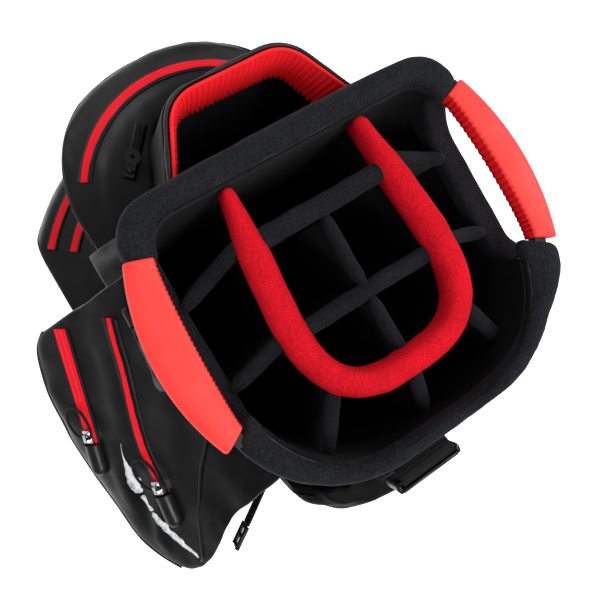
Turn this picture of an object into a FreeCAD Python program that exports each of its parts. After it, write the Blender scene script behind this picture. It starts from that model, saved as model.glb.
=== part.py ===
"""Cart-style golf bag with a divided top, an outside putter well and zipped pockets.

Frame: +Z up, origin on the ground under the middle of the lift handles.
-Y is the front (putter well and front pockets), +Y the spine, +X the right-hand handle.
Lengths are millimetres. Heights named DROP are measured down from the rim.
"""
import FreeCAD
import Part
import math
import os

V = FreeCAD.Vector

# ---- driving dimensions -------------------------------------------------------------------
RIM_Z = 880.0            # top of the rim above the ground
RIM_HALF_WIDTH = 143.0   # outside of the rim, at the handles
RIM_FRONT = -106.0
RIM_BACK = 150.0
RIM_FRONT_RADIUS = 34.0
RIM_BACK_RADIUS = 100.0

WELL_HALF_WIDTH = 122.0  # inside of the padded rim
WELL_FRONT = -87.0
WELL_BACK = 141.0

HANDLE_HALF_LENGTH = 73.0
GRIP_HEIGHT = 15.0
HAND_OPENING_DROP = 45.0
COLLAR_DROP = 60.0

SHELL_HALF_WIDTH = 138.0
SHELL_FRONT = -101.0
SHELL_BACK = 145.0
SHELL_WALL = 3.5

FLOOR_Z = 16.0           # top of the base floor, inside the bag
BASE_HEIGHT = 72.0
TREAD_HEIGHT = 8.0

PANEL = 3.0              # divider thickness
BEAD = 11.0              # padded top edge of a divider
U_PAD_WIDTH = 24.0
U_PAD_HEIGHT = 26.0

POCKET_WALL = 3.0
UPPER_POCKET_HALF_WIDTH = 121.0
UPPER_POCKET_RADIUS = 155.0
UPPER_POCKET_TOP = 120.0     # DROP
UPPER_POCKET_BOTTOM = 300.0  # DROP
LOWER_POCKET_HALF_WIDTH = 216.0
LOWER_POCKET_RADIUS = 288.0
LOWER_POCKET_TOP = 316.0     # DROP
LOWER_POCKET_BOTTOM = 752.0  # DROP

SIDE_POCKET_OUT = 264.0
SIDE_POCKET_FRONT = -73.0
SIDE_POCKET_BOTTOM = 768.0   # DROP
LEFT_POCKET_LOWER = 75.0     # the left pocket starts this much lower than the right one
SLOPE_X = 150.0              # the pocket's top leans out at 45 degrees through this point
SLOPE_DROP = 60.0

TAPE_HALF = 6.5              # half width of a zip tape
TAPE_THICK = 1.0
COIL_HALF = 2.5
COIL_TOP = 2.4


def rim(drop):
    """Height of a level that lies DROP below the rim."""
    return RIM_Z - drop


# ---- shared shape helpers -----------------------------------------------------------------
def box(x0, x1, y0, y1, z0, z1):
    return Part.makeBox(x1 - x0, y1 - y0, z1 - z0, V(x0, y0, z0))


def prism(points, z0, z1):
    """Upright prism over a closed polygon of (x, y) points."""
    wire = Part.makePolygon([V(x, y, z0) for x, y in points + points[:1]])
    return Part.Face(wire).extrude(V(0, 0, z1 - z0))


def outline(half_width, front, back, front_radius, back_radius, z):
    """Plan of the bag: flat front, straight sides and a broad round back."""
    w, rf, rb = half_width, front_radius, back_radius
    d = math.sqrt(0.5)

    def arc(a, b, c):
        return Part.Arc(V(*a, z), V(*b, z), V(*c, z)).toShape()

    def line(a, b):
        return Part.makeLine(V(*a, z), V(*b, z))

    edges = [
        line((-w + rf, front), (w - rf, front)),
        arc((w - rf, front), (w - rf + rf * d, front + rf - rf * d), (w, front + rf)),
        line((w, front + rf), (w, back - rb)),
        arc((w, back - rb), (w - rb + rb * d, back - rb + rb * d), (w - rb, back)),
        line((w - rb, back), (-w + rb, back)),
        arc((-w + rb, back), (-w + rb - rb * d, back - rb + rb * d), (-w, back - rb)),
        line((-w, back - rb), (-w, front + rf)),
        arc((-w, front + rf), (-w + rf - rf * d, front + rf - rf * d), (-w + rf, front)),
    ]
    return Part.Face(Part.Wire(edges))


def rim_solid(inset, z0, z1):
    """Solid over the rim's outline, moved inwards by inset."""
    face = outline(RIM_HALF_WIDTH - inset, RIM_FRONT + inset, RIM_BACK - inset,
                   RIM_FRONT_RADIUS - inset, RIM_BACK_RADIUS - inset, z0)
    return face.extrude(V(0, 0, z1 - z0))


def well_solid(grow, z0, z1):
    """Solid over the plan of the club well, inside the padded rim."""
    face = outline(WELL_HALF_WIDTH + grow, WELL_FRONT - grow, WELL_BACK + grow,
                   24.0 + grow, 90.0 + grow, z0)
    return face.extrude(V(0, 0, z1 - z0))


def shell_solid(grow, z0, z1):
    """Solid over the plan of the fabric body."""
    face = outline(SHELL_HALF_WIDTH + grow, SHELL_FRONT - grow, SHELL_BACK + grow,
                   30.0 + grow, 96.0 + grow, z0)
    return face.extrude(V(0, 0, z1 - z0))


def mirrored(shape):
    return shape.mirror(V(0, 0, 0), V(1, 0, 0))


def placed(shape, origin, x_axis, y_axis, z_axis):
    """Copy of a shape drawn in a local frame, put into the bag's frame."""
    copy = shape.copy()
    frame = FreeCAD.Placement(origin, FreeCAD.Rotation(x_axis, y_axis, z_axis))
    copy.Placement = frame.multiply(shape.Placement)
    return copy


# ---- top: collar, padded rim, grips ---------------------------------------------------------
def handle_bar(clearance):
    """Bar of one handle, bowed outwards, from the front of the rim to its back."""
    c = clearance
    reach = HANDLE_HALF_LENGTH + 8
    inner = [V(130 - c, -reach, 0), V(138 - c, 0, 0), V(132 - c, reach, 0)]
    outer = [V(138.5 + c, -reach, 0), V(152 + c, 0, 0), V(139 + c, reach, 0)]
    edges = [
        Part.Arc(*inner).toShape(),
        Part.makeLine(inner[2], outer[2]),
        Part.Arc(*reversed(outer)).toShape(),
        Part.makeLine(outer[0], inner[0]),
    ]
    bar = Part.Face(Part.Wire(edges)).extrude(V(0, 0, 8 + 2 * c))
    bar.translate(V(0, 0, rim(11.5) - c))
    return bar


def grip(side_is_right):
    """Rubber grip moulded round a handle bar, bowed outwards, with a flat underside."""
    h = HANDLE_HALF_LENGTH
    inner = [V(123, -h, 0), V(130, 0, 0), V(131, h, 0)]
    outer = [V(143, -h, 0), V(162, 0, 0), V(150, h, 0)]
    edges = [
        Part.Arc(*inner).toShape(),
        Part.makeLine(inner[2], outer[2]),
        Part.Arc(*reversed(outer)).toShape(),
        Part.makeLine(outer[0], inner[0]),
    ]
    body = Part.Face(Part.Wire(edges)).extrude(V(0, 0, GRIP_HEIGHT))
    body.translate(V(0, 0, rim(GRIP_HEIGHT)))
    body = body.makeFillet(4.0, [e for e in body.Edges if e.BoundBox.YLength > 2 * h - 2])
    body = body.cut(handle_bar(0.0))
    return body if side_is_right else mirrored(body)


def top_collar():
    """Moulded ring that carries the dividers, with a hand opening and a bar at each side."""
    ring = rim_solid(3.0, rim(COLLAR_DROP), rim(3.0)).cut(well_solid(1.0, rim(COLLAR_DROP) - 1, RIM_Z))
    for side in (-1, 1):
        gap = box(min(side * 110, side * 160), max(side * 110, side * 160),
                  -HANDLE_HALF_LENGTH, HANDLE_HALF_LENGTH, rim(HAND_OPENING_DROP), RIM_Z)
        ring = ring.cut(gap)
    bar = handle_bar(0.0)
    ring = ring.fuse([bar, mirrored(bar)])
    ring = ring.cut(rim_pads())
    for x, y in STAY_PLACES:
        socket = Part.makeCylinder(STAY_RADIUS + 0.05, SOCKET_DEPTH, V(x, y, rim(COLLAR_DROP)))
        ring = ring.cut(socket)
    return ring.removeSplitter()


def rim_pads():
    """Padded roll on the rim, front and back together, broken at the handles."""
    roll = rim_solid(0.0, rim(26.0), RIM_Z).cut(rim_solid(9.0, rim(26.0) - 1, rim(5.0)))
    roll = roll.cut(well_solid(-1.0, rim(26.0) - 1, RIM_Z + 1))
    gap = box(-200, 200, -HANDLE_HALF_LENGTH - 0.3, HANDLE_HALF_LENGTH + 0.3, rim(30.0), RIM_Z + 1)
    return roll.cut(gap)


def rim_pad(front):
    half = box(-200, 200, -200, 0, 0, 1000) if front else box(-200, 200, 0, 200, 0, 1000)
    return rim_pads().common(half)


# ---- dividers ---------------------------------------------------------------------------------
U_FRONT = (56.0, -84.3)
U_SIDE = (68.0, 20.0)
U_SHOULDER = (59.0, 70.0)
U_BACK = (22.0, 91.0)


def u_band(width, z0, z1):
    """Upright band of the given width along the U-shaped divider."""
    z = z0

    def p(point, sign=1):
        return V(sign * point[0], point[1], z)

    path = Part.Wire([
        Part.makeLine(p(U_FRONT), p(U_SIDE)),
        Part.Arc(p(U_SIDE), p(U_SHOULDER), p(U_BACK)).toShape(),
        Part.makeLine(p(U_BACK), p(U_BACK, -1)),
        Part.Arc(p(U_BACK, -1), p(U_SHOULDER, -1), p(U_SIDE, -1)).toShape(),
        Part.makeLine(p(U_SIDE, -1), p(U_FRONT, -1)),
    ])
    outer = path.makeOffset2D(width / 2, 0, False, True)
    inner = path.makeOffset2D(-width / 2, 0, False, True)
    a, b = outer.OrderedVertexes, inner.OrderedVertexes
    ends = []
    for vertex in (a[0], a[-1]):
        near = min((b[0], b[-1]), key=lambda v, vertex=vertex: v.Point.distanceToPoint(vertex.Point))
        ends.append(Part.makeLine(vertex.Point, near.Point))
    edges = outer.Edges + inner.Edges + ends
    wire = Part.Wire(Part.__sortEdges__(edges))
    return Part.Face(wire).extrude(V(0, 0, z1 - z0))


def wall_divider(start, end, start_drop, end_drop):
    """Full-length divider from start to end with a padded bead along its sloping top."""
    run = V(end[0] - start[0], end[1] - start[1], 0)
    length = run.Length
    along = V(run.x / length, run.y / length, 0)
    across = V(-along.y, along.x, 0)

    def slab(half, bottom_start, bottom_end):
        pts = [V(0, 0, rim(start_drop)), V(length, 0, rim(end_drop)),
               V(length, 0, bottom_end), V(0, 0, bottom_start)]
        face = Part.Face(Part.makePolygon(pts + pts[:1]))
        solid = face.extrude(V(0, 2 * half, 0))
        solid.translate(V(0, -half, 0))
        return placed(solid, V(start[0], start[1], 0), along, across, V(0, 0, 1))

    panel = slab(PANEL / 2, FLOOR_Z + 1, FLOOR_Z + 1)
    bead = slab(BEAD / 2, rim(start_drop + 13), rim(end_drop + 13))
    solid = panel.fuse(bead)
    solid = solid.common(well_solid(-0.5, FLOOR_Z, RIM_Z))
    solid = solid.cut(u_band(PANEL + 0.6, FLOOR_Z, rim(U_PAD_HEIGHT)))
    solid = solid.cut(u_band(U_PAD_WIDTH + 0.6, rim(U_PAD_HEIGHT + 0.3), RIM_Z))
    return max(solid.Solids, key=lambda s: s.Volume)


def inner_dividers():
    """Two cross dividers and the spine divider inside the U."""
    inside = 64.0
    front = wall_divider((-inside, -42), (inside, -42), 9, 9)
    rear = wall_divider((-inside - 6, 30), (inside + 6, 30), 15, 15)
    spine = wall_divider((0, -41), (0, 94), 15, 15)
    for y in (-42, 30):
        spine = spine.cut(box(-20, 20, y - BEAD / 2 - 0.3, y + BEAD / 2 + 0.3, 0, RIM_Z))
    return {"cross_divider_front": front, "cross_divider_rear": rear, "spine_divider": spine}


RADIALS = {
    "radial_divider_front": ((58, -50), (132, -24)),
    "radial_divider_middle": ((66, 25), (136, 47)),
    "radial_divider_rear": ((56, 68), (94, 140)),
}


def radial_dividers():
    """Dividers from the U out to the wall, lower where they meet the wall."""
    shapes = {}
    for name, (start, end) in RADIALS.items():
        right = wall_divider(start, end, 8, 40)
        shapes[name + "_right"] = right
        shapes[name + "_left"] = mirrored(right)
    shapes["radial_divider_centre"] = wall_divider((0, 84), (0, 150), 8, 40)
    return shapes


# ---- putter well ------------------------------------------------------------------------------
WELL_TOP = 40.0          # DROP
LINER_DEPTH = 38.0
PUTTER_BOTTOM_Z = FLOOR_Z + 1


def putter_plan(grow):
    """Corners of the putter well, a wide shallow trapezoid in front of the rim."""
    return [(-84 - grow, -107), (-54 - 0.7 * grow, -170 - grow), (54 + 0.7 * grow, -170 - grow), (84 + grow, -107)]


def putter_well_liner():
    """Moulded rim of the putter well, with upright ribs inside."""
    z0, z1 = rim(WELL_TOP + LINER_DEPTH), rim(WELL_TOP)
    hollow = prism([(x, y - 3 if y > -110 else y) for x, y in putter_plan(-4.0)], z0 - 1, z1 + 1)
    ring = prism(putter_plan(0.0), z0, z1).cut(hollow)
    return ring.removeSplitter()


def putter_well_casing():
    """Smooth outer moulding round the liner; it has no rear wall, the rim stands behind it."""
    z0, z1 = rim(UPPER_POCKET_TOP - 3), rim(WELL_TOP + 2)
    return prism(putter_plan(7.2), z0, z1).cut(prism(putter_plan(0.3), z0 - 1, z1 + 1))


def putter_tube():
    """Full-length tube under the liner that holds the shaft of the putter."""
    z1 = rim(WELL_TOP + LINER_DEPTH + 0.3)
    hollow = prism([(x, y - 1 if y > -110 else y) for x, y in putter_plan(-3.0)], PUTTER_BOTTOM_Z - 1, z1 + 1)
    return prism(putter_plan(0.0), PUTTER_BOTTOM_Z, z1).cut(hollow)


# ---- body, base and frame -----------------------------------------------------------------------
STAY_RADIUS = 3.5
STAY_PLACES = [(128.5, 14.0), (-128.5, 14.0), (92.0, -92.5), (-92.0, -92.5)]
SOCKET_DEPTH = 12.0
RIVET_SHANK = 2.0


def body_shell():
    """Fabric body between the collar and the base."""
    z0, z1 = FLOOR_Z + 1, rim(COLLAR_DROP + 0.3)
    return shell_solid(0.0, z0, z1).cut(shell_solid(-SHELL_WALL, z0 - 1, z1 + 1))


def base_plan(grow, z0, z1):
    face = outline(146 + grow, -188 - grow, 152 + grow, 62 + grow, 100 + grow, z0)
    return face.extrude(V(0, 0, z1 - z0))


def rivet_spots():
    """Places and outward directions of the rivets round the base."""
    spots = []
    for side in (-1, 1):
        for y in (-90, -20, 40):
            spots.append((V(side * 146, y, 52), V(side, 0, 0)))
    for x in (-40, 40):
        spots.append((V(x, 152, 52), V(0, 1, 0)))
        spots.append((V(x, -188, 52), V(0, -1, 0)))
    return spots


def base_moulding():
    """Moulded cup with a floor; the body and the putter tube stand in it."""
    cup = base_plan(0.0, TREAD_HEIGHT, BASE_HEIGHT).cut(base_plan(-4.0, FLOOR_Z, BASE_HEIGHT + 1))
    for x, y in STAY_PLACES:
        boss = Part.makeCylinder(STAY_RADIUS + 1.0, SOCKET_DEPTH + 1, V(x, y, FLOOR_Z - 1))
        cup = cup.fuse(boss).cut(Part.makeCylinder(STAY_RADIUS + 0.05, SOCKET_DEPTH + 1, V(x, y, FLOOR_Z)))
    for spot, out in rivet_spots():
        cup = cup.cut(Part.makeCylinder(RIVET_SHANK, 12.0, spot - out * 6, out))
    return cup.removeSplitter()


def base_tread():
    """Rubber sole under the base."""
    sole = base_plan(-6.0, 0.0, TREAD_HEIGHT)
    rim_edges = [e for e in sole.Edges if e.BoundBox.ZMax < 0.1]
    return sole.makeChamfer(2.0, rim_edges)


def stay_rods():
    """Four alloy rods that hold the collar above the base."""
    length = rim(COLLAR_DROP) + SOCKET_DEPTH - FLOOR_Z - 1.0
    return Part.makeCompound([Part.makeCylinder(STAY_RADIUS, length, V(x, y, FLOOR_Z + 0.5))
                              for x, y in STAY_PLACES])


def base_rivets():
    """Domed rivets that hold the body to the base."""
    rivets = []
    for spot, out in rivet_spots():
        head = Part.makeCone(5.0, 3.2, 2.2, spot, out)
        shank = Part.makeCylinder(RIVET_SHANK - 0.05, 6.0, spot - out * 6, out)
        rivets.append(head.fuse(shank))
    return Part.makeCompound(rivets)


# ---- front pockets ---------------------------------------------------------------------------------
TURNING_LINES = {                    # upright line that each front pocket is turned about
    UPPER_POCKET_RADIUS: (33.0, -99.0),
    LOWER_POCKET_RADIUS: (0.0, -4.0),
}
POCKET_SHOULDERS = {                 # where the shoulder starts and ends, and how far it falls
    UPPER_POCKET_RADIUS: (106.0, 144.0, 22.0),
    LOWER_POCKET_RADIUS: (206.0, 276.0, 42.0),
}
CORNER_RADII = {UPPER_POCKET_RADIUS: 117.0, LOWER_POCKET_RADIUS: 130.0}


def turned_solid(profile, line, back):
    """Half turn of a (radius, drop) profile about an upright line, run straight back from there."""
    x0, y0 = line
    sides = {sign: [V(x0 + sign * r, y0, rim(drop)) for r, drop in profile] for sign in (1, -1)}
    solid = Part.Face(Part.makePolygon(sides[1] + sides[1][:1])).revolve(V(x0, y0, 0), V(0, 0, 1), -180)
    if back > y0:
        across = sides[1] + sides[-1][::-1]
        solid = solid.fuse(Part.Face(Part.makePolygon(across[1:-1] + across[1:2])).extrude(V(0, back - y0, 0)))
    return solid.removeSplitter()


def front_pocket(radius, top, bottom, half_width, back, inset):
    """Front pocket body: a shoulder that slopes down to a rounded outer wall."""
    r, t, b = radius - inset, top + inset, bottom - inset
    inner, outer, fall = POCKET_SHOULDERS[radius]
    line = TURNING_LINES[radius]
    start = 0 if back > line[1] else 60
    profile = [(start, t), (inner, t), (outer, t + fall), (r - 3, t + fall + 10), (r, t + fall + 22),
               (r, b - 26), (r - 8, b - 8), (r - 26, b), (start, b)]
    plan = outline(half_width - inset, line[1] - r, 120, CORNER_RADII[radius] - inset, 30, 0)
    plan.translate(V(line[0], 0, 0))
    solid = turned_solid(profile, line, back).common(plan.extrude(V(0, 0, RIM_Z)))
    return solid.common(box(-300, 300, -400, back, 0, RIM_Z))


def front_upper_pocket():
    back = SHELL_FRONT - 0.5
    args = (UPPER_POCKET_RADIUS, UPPER_POCKET_TOP, UPPER_POCKET_BOTTOM, UPPER_POCKET_HALF_WIDTH)
    solid = front_pocket(*args, back, 0.0).cut(front_pocket(*args, back + 10, POCKET_WALL))
    solid = solid.cut(prism(putter_plan(0.5), 0, rim(UPPER_POCKET_TOP) + 1))
    return max(solid.Solids, key=lambda s: s.Volume)


def front_lower_pocket():
    back = SIDE_POCKET_FRONT - 5.0
    args = (LOWER_POCKET_RADIUS, LOWER_POCKET_TOP, LOWER_POCKET_BOTTOM, LOWER_POCKET_HALF_WIDTH)
    solid = front_pocket(*args, back, 0.0).cut(front_pocket(*args, back - POCKET_WALL, POCKET_WALL))
    solid = solid.cut(prism(putter_plan(0.5), 0, rim(LOWER_POCKET_TOP) + 1))
    solid = solid.cut(shell_solid(0.5, 0, RIM_Z))
    return max(solid.Solids, key=lambda s: s.Volume)


# ---- side pockets -----------------------------------------------------------------------------------
SIDE_POCKET_PLAN = [(90, -73), (238, -73), (254, -30), (262, 20), (264, 70), (260, 115), (248, 150),
                    (232, 172), (220, 174), (204, 166), (184, 143), (160, 131), (128, 124), (104, 108), (90, 60)]


def side_pocket_solid(inset, lower):
    """Right side pocket, or one that starts lower: a leaning top, kept inside a rounded plan."""
    out, bottom = SIDE_POCKET_OUT - inset, SIDE_POCKET_BOTTOM - inset
    inner = RIM_HALF_WIDTH + 0.6
    shoulder = 250.0 - 0.4 * inset

    top = COLLAR_DROP + 2 + inset + lower

    def slope(x):
        return SLOPE_DROP + lower + (x - SLOPE_X) + inset * math.sqrt(2)

    pts = [(80, top), (inner, top)]
    if inset == 0:
        pts.append((inner, slope(inner)))
    pts += [(shoulder, slope(shoulder)), (out - 3, slope(shoulder) + 12), (out, slope(shoulder) + 26),
            (out, bottom - 60), (out - 8, bottom - 26), (out - 30, bottom), (80, bottom)]
    wire = Part.makePolygon([V(x, -100, rim(d)) for x, d in pts + pts[:1]])
    solid = Part.Face(wire).extrude(V(0, 300, 0))
    plan = Part.makePolygon([V(x, y, 0) for x, y in SIDE_POCKET_PLAN + SIDE_POCKET_PLAN[:1]])
    if inset:
        plan = plan.makeOffset2D(-inset, 2)
    solid = solid.common(Part.Face(plan).extrude(V(0, 0, RIM_Z)))
    return solid


def side_pocket(lower):
    skin = side_pocket_solid(0.0, lower).cut(side_pocket_solid(POCKET_WALL, lower))
    skin = skin.cut(shell_solid(0.5, 0, RIM_Z))
    return max(skin.Solids, key=lambda s: s.Volume)


# ---- zips ---------------------------------------------------------------------------------------------
SLOPE_COS = math.sqrt(0.5)
OUTER_ZIP = ((88.0, -66.0), (130.0, 31.0))                # on the leaning top: (down the slope, along +Y)
INNER_ZIP = ((31.0, -51.0), (66.0, 25.0), (86.0, 96.0))
END_MARGIN = 7.0             # from a zip's end to the middle of its parked slider
GARAGE_LENGTH = 32.0
GARAGE_RADIUS = 8.0
PIN_HEIGHT = 7.6
EAR_RADIUS = 2.4
PIN_RADIUS = 1.2

FRONT_ZIPS = {               # name: (pocket, radius of the zip, half of its sweep in degrees)
    "front_upper": (UPPER_POCKET_RADIUS, UPPER_POCKET_TOP, 120.0, 57.0),
    "front_lower": (LOWER_POCKET_RADIUS, LOWER_POCKET_TOP, 264.0, 50.0),
    "front_middle": (LOWER_POCKET_RADIUS, LOWER_POCKET_TOP, 236.0, 50.0),
}
VALUABLES_ZIP = ((68.0, -185.0), (101.0, -148.0))


def slope_placement():
    """Frame of the right pocket's leaning top: x down the slope, y along +Y, z off its face."""
    c = SLOPE_COS
    return FreeCAD.Placement(V(SLOPE_X, 0, rim(SLOPE_DROP)),
                             FreeCAD.Rotation(V(c, 0, -c), V(0, 1, 0), V(c, 0, c)))


def on_slope(shape):
    copy = shape.copy()
    copy.Placement = slope_placement().multiply(shape.Placement)
    return copy


def along_zip(shape, spot, along):
    """Put a shape drawn with y along a zip at a spot of the local face."""
    return placed(shape, spot, V(along.y, -along.x, 0), along, V(0, 0, 1))


def line_of(ends):
    start, end = V(*ends[0], 0), V(*ends[1], 0)
    return start, end, (end - start).normalize()


def straight_zip(ends, half):
    """Tape and coil of a straight zip, in the plane of its face."""
    start, end, along = line_of(ends)
    length = (end - start).Length
    tape = box(-half, half, 0, length, 0, TAPE_THICK)
    coil = box(-COIL_HALF, COIL_HALF, 0, length, TAPE_THICK, COIL_TOP)
    return along_zip(tape.fuse(coil), start, along)


def inner_zip_arc():
    """Centre, radius, start angle and sweep in degrees of the curved zip on a side pocket."""
    points = [V(x, y, 0) for x, y in INNER_ZIP]
    circle = Part.Arc(*points).toShape().Curve
    centre = circle.Center
    angles = [math.degrees(math.atan2(p.y - centre.y, p.x - centre.x)) for p in (points[0], points[2])]
    return centre, circle.Radius, angles[0], angles[1] - angles[0]


def ring_sector(centre, radius, half, n0, n1, start, sweep):
    """Part of a flat ring from the angle start through sweep degrees."""
    low, size = min(start, start + sweep), abs(sweep)
    outer = Part.makeCylinder(radius + half, n1 - n0, centre + V(0, 0, n0), V(0, 0, 1), size)
    inner = Part.makeCylinder(radius - half, n1 - n0, centre + V(0, 0, n0), V(0, 0, 1), size)
    ring = outer.cut(inner)
    ring.rotate(centre, V(0, 0, 1), low)
    return ring


def curved_zip():
    centre, radius, start, sweep = inner_zip_arc()
    tape = ring_sector(centre, radius, TAPE_HALF, 0, TAPE_THICK, start, sweep)
    coil = ring_sector(centre, radius, COIL_HALF, TAPE_THICK, COIL_TOP, start, sweep)
    return tape.fuse(coil)


def shoulder_frame(name):
    """Turning line, radius, height, fall angle and half sweep of a front zip."""
    pocket, top, radius, half_sweep = FRONT_ZIPS[name]
    inner, outer, fall = POCKET_SHOULDERS[pocket]
    angle = math.atan2(fall, outer - inner)
    height = rim(top + (radius - inner) * math.tan(angle)) + 0.3
    return V(*TURNING_LINES[pocket], 0), radius, height, angle, half_sweep


def front_zip(name):
    """Tape and coil of a zip that runs round the front of a pocket's shoulder."""
    line, radius, height, angle, half_sweep = shoulder_frame(name)
    c, s = math.cos(angle), math.sin(angle)

    def section(half, n0, n1):
        corners = [(-half, n0), (half, n0), (half, n1), (-half, n1)]
        pts = [line + V(0, -radius - x * c - n * s, height - x * s + n * c) for x, n in corners]
        face = Part.Face(Part.makePolygon(pts + pts[:1]))
        face.rotate(line, V(0, 0, 1), -half_sweep)
        return face.revolve(line, V(0, 0, 1), 2 * half_sweep)

    return section(TAPE_HALF, 0, TAPE_THICK).fuse(section(COIL_HALF, TAPE_THICK, COIL_TOP))


def on_shoulder(shape, name):
    """Put a shape drawn with y along the zip at its parked place, at the left end."""
    line, radius, height, angle, half_sweep = shoulder_frame(name)
    c, s = math.cos(angle), math.sin(angle)
    middle = placed(shape, line + V(0, -radius, height), V(0, -c, -s), V(1, 0, 0), V(0, -s, c))
    parked = -half_sweep + math.degrees(END_MARGIN / radius)
    turn = FreeCAD.Placement(V(0, 0, 0), FreeCAD.Rotation(V(0, 0, 1), parked), line)
    middle.Placement = turn.multiply(middle.Placement)
    return middle


def slider(with_pin):
    """Zip slider: x across the zip, y along it, z up from the tape's underside."""
    body = box(-4.6, 4.6, -6.0, 6.0, 1.4, 4.8).cut(box(-2.9, 2.9, -7.0, 7.0, 0, 2.9))
    body = body.makeFillet(1.2, [e for e in body.Edges if e.BoundBox.ZLength > 3])
    if with_pin:
        bail = box(-1.5, 1.5, -3.0, 3.0, 4.8, 9.1)
        pin = Part.makeCylinder(PIN_RADIUS, 9.0, V(-4.5, 0, PIN_HEIGHT), V(1, 0, 0))
        return body.fuse([bail, pin]).removeSplitter()
    return body.fuse(box(-1.6, 1.6, -3.5, 3.5, 4.8, 8.4)).removeSplitter()


def pull_ears(plate):
    """A pull's plate with its round ears, slotted for the slider's bail and bored for its pin."""
    ears = Part.makeCylinder(EAR_RADIUS, 8.6, V(-4.3, 0, PIN_HEIGHT), V(1, 0, 0))
    slot = box(-1.8, 1.8, -3.0, 4.0, PIN_HEIGHT - 3, PIN_HEIGHT + 3)
    bore = Part.makeCylinder(PIN_RADIUS + 0.06, 12.0, V(-6, 0, PIN_HEIGHT), V(1, 0, 0))
    return plate.fuse(ears).cut(slot).cut(bore)


def pull_tab():
    """Moulded pull that turns on the slider's pin and lies back along the zip."""
    low, high = PIN_HEIGHT - 1.3, PIN_HEIGHT + 1.3
    tab = box(-4.3, 4.3, 0, 26.0, low, high)
    tab = tab.makeFillet(3.0, [e for e in tab.Edges if e.BoundBox.ZLength > 2 and e.CenterOfMass.y > 20])
    tab = tab.cut(Part.makeCylinder(1.6, 8.0, V(0, 21.5, 3.0)))
    return pull_ears(tab)


def pull_ring():
    """Round pull of the small zip beside the putter well."""
    low, high = PIN_HEIGHT - 1.3, PIN_HEIGHT + 1.3
    ring = Part.makeCylinder(7.0, 2.6, V(0, 10.5, low)).fuse(box(-4.3, 4.3, 0, 6.0, low, high))
    ring = ring.cut(Part.makeCylinder(1.9, 8.0, V(0, 10.5, 4.0)))
    return pull_ears(ring)


def garage():
    """Rubber garage that the closed slider runs up to: half a bullet with its mouth at y = 0."""
    body = Part.makeCylinder(GARAGE_RADIUS, GARAGE_LENGTH - GARAGE_RADIUS, V(0, 0, 0), V(0, 1, 0))
    nose = Part.makeSphere(GARAGE_RADIUS, V(0, GARAGE_LENGTH - GARAGE_RADIUS, 0))
    return body.fuse(nose).common(box(-9, 9, 0, GARAGE_LENGTH, 0, 9)).removeSplitter()


def parked_sliders():
    """Place and travel direction of the two closed sliders on a side pocket, on its face."""
    start, end, along = line_of(OUTER_ZIP)
    centre, radius, first, sweep = inner_zip_arc()
    turn = math.radians(first + sweep) - math.copysign(END_MARGIN / radius, sweep)
    spot = centre + V(math.cos(turn), math.sin(turn), 0) * radius
    tangent = V(-math.sin(turn), math.cos(turn), 0) * math.copysign(1, sweep)
    return {"outer": (end - along * END_MARGIN, along), "inner": (spot, tangent)}


def on_left_pocket(right):
    """The left pocket's copy of a piece that sits on the right pocket's leaning top."""
    left = mirrored(right)
    left.translate(V(0, 0, -LEFT_POCKET_LOWER))
    return left


def zip_garages():
    pieces = []
    for spot, along in parked_sliders().values():
        right = on_slope(along_zip(garage(), spot + along * (END_MARGIN + 0.6), along))
        pieces += [right, on_left_pocket(right)]
    return Part.makeCompound(pieces)


# ---- cord loops on the side pockets' sliders -------------------------------------------------------------
CORD_RADIUS = 1.2
LOOP_ROUTE = [(1.6, 0.0, 6.6), (6.2, 0.0, 6.6), (11.0, -2.0, 6.0), (15.6, -6.4, 5.3), (18.8, -12.8, 4.8),
              (18.6, -20.4, 4.5), (14.2, -26.8, 4.4), (6.8, -28.6, 4.5), (0.2, -24.8, 4.7), (-3.8, -18.2, 5.0),
              (-6.4, -11.6, 5.5), (-7.6, -5.2, 6.1), (-5.8, 0.0, 6.6), (-1.6, 0.0, 6.6)]


def cord_tube(route):
    """Round cord along straight runs joined by tangent arcs."""
    points = [V(*p) for p in route]
    edges, radii = [], []
    last = points[0]
    for before, corner, after in zip(points, points[1:], points[2:]):
        run_in, run_out = corner - before, after - corner
        reach = 0.45 * min(run_in.Length, run_out.Length)
        turn = run_in.getAngle(run_out)
        into, away = run_in.normalize(), run_out.normalize()
        radius = reach / math.tan(turn / 2)
        radii.append(radius)
        a, b = corner - into * reach, corner + away * reach
        toward = (away - into).normalize()
        middle = corner + toward * (math.hypot(radius, reach) - radius)
        edges += [Part.makeLine(last, a), Part.Arc(a, middle, b).toShape()]
        last = b
    edges.append(Part.makeLine(last, points[-1]))
    path = Part.Wire(edges)
    start = edges[0].tangentAt(edges[0].FirstParameter)
    section = Part.Wire(Part.makeCircle(CORD_RADIUS, points[0], start))
    tube = path.makePipeShell([section], True, True)
    print("cord length", round(path.Length, 1), "smallest radius", round(min(radii), 1),
          "volume ratio", round(tube.Volume / (math.pi * CORD_RADIUS ** 2 * path.Length), 3))
    return tube


# ---- umbrella loop beside the right handle ---------------------------------------------------------------
LOOP_PIN = (4.5, 5.0)        # place of its pin on the leaning top: down the slope, off the face
LOOP_PIN_RADIUS = 2.0
LUG_SPANS = ((-34.0, -28.0), (-4.0, 2.0))


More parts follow.
